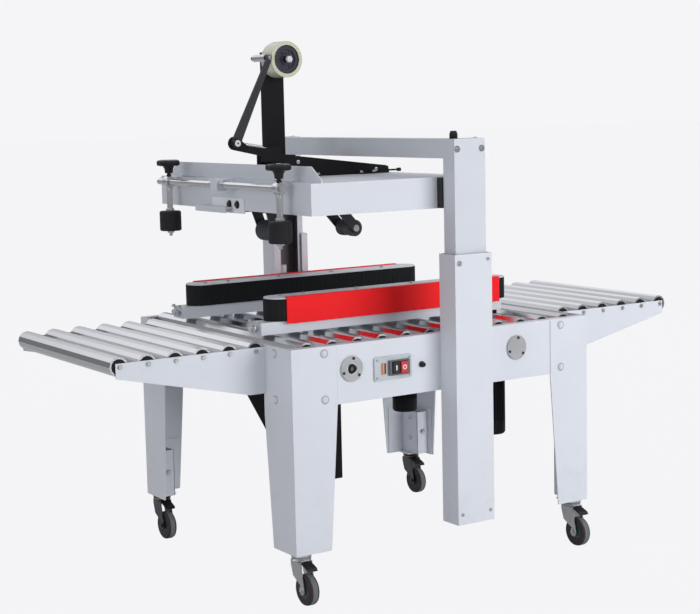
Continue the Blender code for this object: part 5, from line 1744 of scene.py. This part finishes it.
@dataclass
class TapeRoll(SubAssembly):
    """The roll of tape on its hub."""

    half: float = 0.028
    radius: float = 0.048
    core: float = 0.0380
    holes: int = 6
    hole_reach: float = 0.0210

    def build(self) -> None:
        """Make the wound tape, its core, the hub and the nut."""
        roll = Extent.of("tape_roll")
        centre = (roll.x, 0.0, roll.z)
        half = self.half
        film = [(self.core, 0.0004 - half), (self.radius - 0.0006, -half), (self.radius, 0.0006 - half)]
        tape = Shape().turned(mirrored(film), centre, Way.Y, 72, closed=True)
        self.add("wound_tape", tape, "tape_roll", WoundFilm("tape_film", centre), Slot.TAPE, "tape_roll")
        core = [(0.0360, -half - 0.0002), (self.core, -half - 0.0002), (self.core, half), (0.0360, half)]
        spider = [
            (0.0092, -0.0255), (0.0150, -0.0255), (0.0165, -0.0225), (0.0255, -0.0225), (0.0268, -0.0262),
            (0.0355, -0.0262), (0.0362, -0.0245), (0.0362, 0.014), (0.0092, 0.014),
        ]
        hub = Shape()
        for profile in (core, spider):
            hub.turned(profile, centre, Way.Y, 64, closed=True)
        for turn in range(self.holes):
            angle = math.tau * turn / self.holes
            spot = (
                roll.x + self.hole_reach * math.cos(angle), -0.0220, roll.z + self.hole_reach * math.sin(angle),
            )
            hub.turned(disc_profile(0.0030, 0.0025), spot, Way.BACK_Y, 12)
        self.add("tape_hub", hub, "tape_roll", CORE, Slot.BLACK)
        # Painted highlight: the nut gets the pale bolt paint in place of bare steel, for the bright glint on it.
        nut = Shape().turned(
            [(0.0, 0.0), (0.0095, 0.0), (0.0095, 0.007), (0.0080, 0.0085), (0.0, 0.0085)],
            (roll.x, -0.036, roll.z), Way.BACK_Y, 6,
        )
        self.add("spindle_nut", nut, "head", BOLT_WHITE, Slot.CHROME)


@dataclass
class TapeHeadFittings(SubAssembly):
    """Pins, the tension arm's pivot and spring, and its guide, on the upper taping head."""

    cheek: float = 0.045
    tension_pivot: Point = (-0.408, -0.0585, 1.146)
    guide: Point = (-0.299, -0.006, 1.368)
    coil_start: Point = (-0.372, -0.030, 1.140)
    coil_length: float = 0.060
    coil_drop: float = 0.010
    coil_radius: float = 0.0065
    coil_turns: int = 7
    coil_steps: int = 14

    def build(self) -> None:
        """Make the pins, the tension arm's pivot, its spring and its guide."""
        self.build_pins()
        self.build_pivot()
        self.build_spring()
        self.build_guide()

    def build_pins(self) -> None:
        """Make the pins on both cheeks."""
        pins = Shape()
        for side in Side:
            for x, z in ((-0.316, 1.000), (-0.118, 1.000)):
                pins.bolt((x, side.sign * self.cheek, z), side.outward, 0.013, 0.006)
            for x, z in ((-0.215, 1.090), (0.037, 1.061)):
                pins.screw((x, side.sign * self.cheek, z), side.outward, 0.006, 0.003)
        self.add("tape_head_pins", pins, "head", CHROME, Slot.CHROME)

    def build_pivot(self) -> None:
        """Make the disc and the rim on the tension arm's pivot."""
        x, _, z = self.tension_pivot
        disc = Shape().turned(
            [(0.0028, 0.0), (0.0085, 0.0), (0.0090, 0.001), (0.0090, 0.0045), (0.0078, 0.0060), (0.0028, 0.0063)],
            self.tension_pivot, Way.BACK_Y, 32, closed=True,
        )
        self.add("tension_pivot_disc", disc, "head", BOLT_WHITE, Slot.CHROME)
        rim = Shape().turned(
            [(0.0091, 0.0), (0.0132, 0.0), (0.0132, 0.0040), (0.0122, 0.0050), (0.0091, 0.0050)],
            self.tension_pivot, Way.BACK_Y, 32, closed=True,
        )
        rim.rod((x, -0.0580, z), (x, -0.0640, z), 0.0027, 16)
        self.add("tension_pivot_rim", rim, "head", KNOB, Slot.BLACK)

    def build_spring(self) -> None:
        """Make the tension spring on its rod."""
        x, y, z = self.coil_start
        count = self.coil_turns * self.coil_steps
        coil = []
        for step in range(count + 1):
            angle, reach = math.tau * step / self.coil_steps, step / count
            coil.append((
                x + self.coil_length * reach, y + self.coil_radius * math.cos(angle),
                z - self.coil_drop * reach + self.coil_radius * math.sin(angle),
            ))
        spring = Shape().sweep(coil, 0.0011, 8)
        spring.rod((-0.392, y, 1.143), (-0.300, y, 1.128), 0.003)
        self.add("tension_spring", spring, "head", ZINC, Slot.ZINC)

    def build_guide(self) -> None:
        """Make the sleeve on the tension arm's tip and its bolt."""
        sleeve = Shape().turned(mirrored([(0.0065, -0.032), (0.0095, -0.032)]), self.guide, Way.Y, 28, closed=True)
        self.add("tension_guide_sleeve", sleeve, "tension_arm", ZINC, Slot.ZINC)
        pin = Shape().bolt((self.guide[0], -0.0549, self.guide[2]), Way.BACK_Y, 0.009, 0.004)
        self.add("tension_arm_bolt", pin, "tension_arm", CHROME, Slot.CHROME)


# --- Stage -------------------------------------------------------------------------------------------
@dataclass
class Studio:
    """The floor, the lamps, the surroundings and the camera."""

    background: Colour = (0.913, 0.913, 0.930)
    sky: Stops = ((0.0, (0.55, 0.56, 0.58)), (1.0, EVEN))
    sky_strength: float = 0.43
    mirror_band: Stops = (
        (0.0, (0.50, 0.50, 0.52)),
        *((spot, (level, level, 1.03 * level)) for spot, level in (
            (0.44, 0.42), (0.49, 0.14), (0.56, 0.28), (0.64, 0.48), (0.72, 1.30), (0.78, 1.05), (0.84, 0.70),
        )),
        (1.0, (0.85, 0.86, 0.88)),
    )
    camera_spot: Point = (-2.430, -3.699, 1.237)
    yaw: float = math.radians(32.98)
    pitch: float = math.radians(-7.25)
    roll: float = math.radians(-1.30)
    lens: float = 81.34

    def build(self) -> None:
        """Make the stage."""
        self.build_floor()
        self.build_world()
        self.build_lamps()
        self.build_camera()
        bpy.context.scene.view_settings.view_transform = "Standard"

    def build_floor(self) -> None:
        """Make a plain pale floor that keeps a faint shadow."""
        mesh = bpy.data.meshes.new("floor")
        reach = 60.0
        mesh.from_pydata(
            [(-reach, -reach, 0), (reach, -reach, 0), (reach, reach, 0), (-reach, reach, 0)], [], [(0, 1, 2, 3)],
        )
        floor = bpy.data.objects.new("floor", mesh)
        bpy.context.scene.collection.objects.link(floor)
        graph = Graph("floor_pale")
        ray = graph.node("ShaderNodeLightPath", output="Is Camera Ray")
        tint = graph.blend(graph.noise(1.5, 2.0) * 0.2, (0.74, 0.74, 0.75), (0.72, 0.72, 0.73))
        graph.set(Base_Color=tint, Roughness=0.9)
        glow = graph.node("ShaderNodeEmission", values={"Color": (*self.background, 1.0), "Strength": 1.0})
        mix = graph.node("ShaderNodeMixShader", values={
            0: ray * 0.985, 1: Sock(graph, graph.shader.outputs[0]), 2: glow,
        })
        graph.surface(mix)
        mesh.materials.append(graph.material)

    def build_world(self) -> None:
        """Make even surroundings that look pale to the camera and graded in polished metal."""
        world = bpy.data.worlds.new("studio")
        bpy.context.scene.world = world
        world.use_nodes = True
        nodes = Nodes(world.node_tree, "ShaderNodeOutputWorld")
        place = nodes.node("ShaderNodeTexCoord", output="Generated")
        height = nodes.node("ShaderNodeSeparateXYZ", values={0: place}, output="Z")
        level = nodes.node("ShaderNodeMapRange", values={"Value": height, "From Min": -1.0}, output="Result")
        sky, band = (
            nodes.node("ShaderNodeValToRGB", {"stops": stops}, {"Fac": level}, output="Color")
            for stops in (self.sky, self.mirror_band)
        )
        soft = nodes.node("ShaderNodeBackground", values={"Color": sky, "Strength": self.sky_strength})
        mirror = nodes.node("ShaderNodeBackground", values={"Color": band})
        pale = nodes.node("ShaderNodeBackground", values={"Color": (*self.background, 1.0)})
        glossy = nodes.node("ShaderNodeLightPath", output="Is Glossy Ray")
        seen = nodes.node("ShaderNodeLightPath", output="Is Camera Ray")
        lit = nodes.node("ShaderNodeMixShader", values={0: glossy, 1: soft, 2: mirror})
        nodes.surface(nodes.node("ShaderNodeMixShader", values={0: seen, 1: lit, 2: pale}))

    def build_lamps(self) -> None:
        """Make the soft lamps."""
        lamps = {
            "key": ((1.9, -4.6, 1.5), (0.0, 0.0, 0.7), 3.0, 135.0),
            "fill": ((-4.6, -1.6, 1.5), (0.0, 0.0, 0.6), 2.0, 35.0),
            "top": ((0.0, 0.3, 4.6), (0.0, 0.0, 0.5), 2.0, 17.0),
            "back": ((2.6, 4.2, 2.4), (0.0, 0.0, 0.7), 2.6, 75.0),
        }
        for name, (spot, aim, size, power) in lamps.items():
            light = bpy.data.lights.new(name, "AREA")
            light.shape = "SQUARE"
            light.size = size
            light.energy = power
            lamp = bpy.data.objects.new(name, light)
            lamp.location = spot
            lamp.visible_glossy = False
            lamp.rotation_euler = (Vector(aim) - Vector(spot)).to_track_quat("-Z", "Y").to_euler()
            bpy.context.scene.collection.objects.link(lamp)

    def build_camera(self) -> None:
        """Make the camera."""
        data = bpy.data.cameras.new("camera")
        data.lens = self.lens
        data.sensor_width = 36.0
        data.clip_end = 200.0
        flat = math.cos(self.pitch)
        ahead = Vector((math.sin(self.yaw) * flat, math.cos(self.yaw) * flat, math.sin(self.pitch)))
        level = Vector((math.cos(self.yaw), -math.sin(self.yaw), 0.0))
        upright = level.cross(ahead)
        right = math.cos(self.roll) * level + math.sin(self.roll) * upright
        up = -math.sin(self.roll) * level + math.cos(self.roll) * upright
        turn = Matrix((right, up, -ahead)).transposed().to_4x4()
        camera = bpy.data.objects.new("camera", data)
        camera.matrix_world = Matrix.Translation(self.camera_spot) @ turn
        bpy.context.scene.collection.objects.link(camera)
        bpy.context.scene.camera = camera


def main() -> None:
    """Build the stage, then each sub-assembly in turn."""
    logging.basicConfig(level=logging.INFO, format="%(name)s: %(message)s")
    Studio().build()
    assemblies: list[SubAssembly] = [Solids()]
    assemblies += [Caster(side, end) for side in Side for end in End]
    assemblies += [BeltUnit(side) for side in Side]
    assemblies += [SwitchBox(), PanelFittings(), MastFittings(), HeadFittings()]
    assemblies += [Presser(side) for side in Side]
    assemblies += [
        RollerArm("applying", (-0.316, 1.000), (-0.281, 0.907), 0.028, 6),
        RollerArm("wiping", (-0.118, 1.000), (-0.028, 0.900), 0.023, 1),
        TapeRoll(),
        TapeHeadFittings(),
    ]
    for assembly in assemblies:
        assembly.build()
        assembly.dress()


if __name__ == "__main__":
    main()
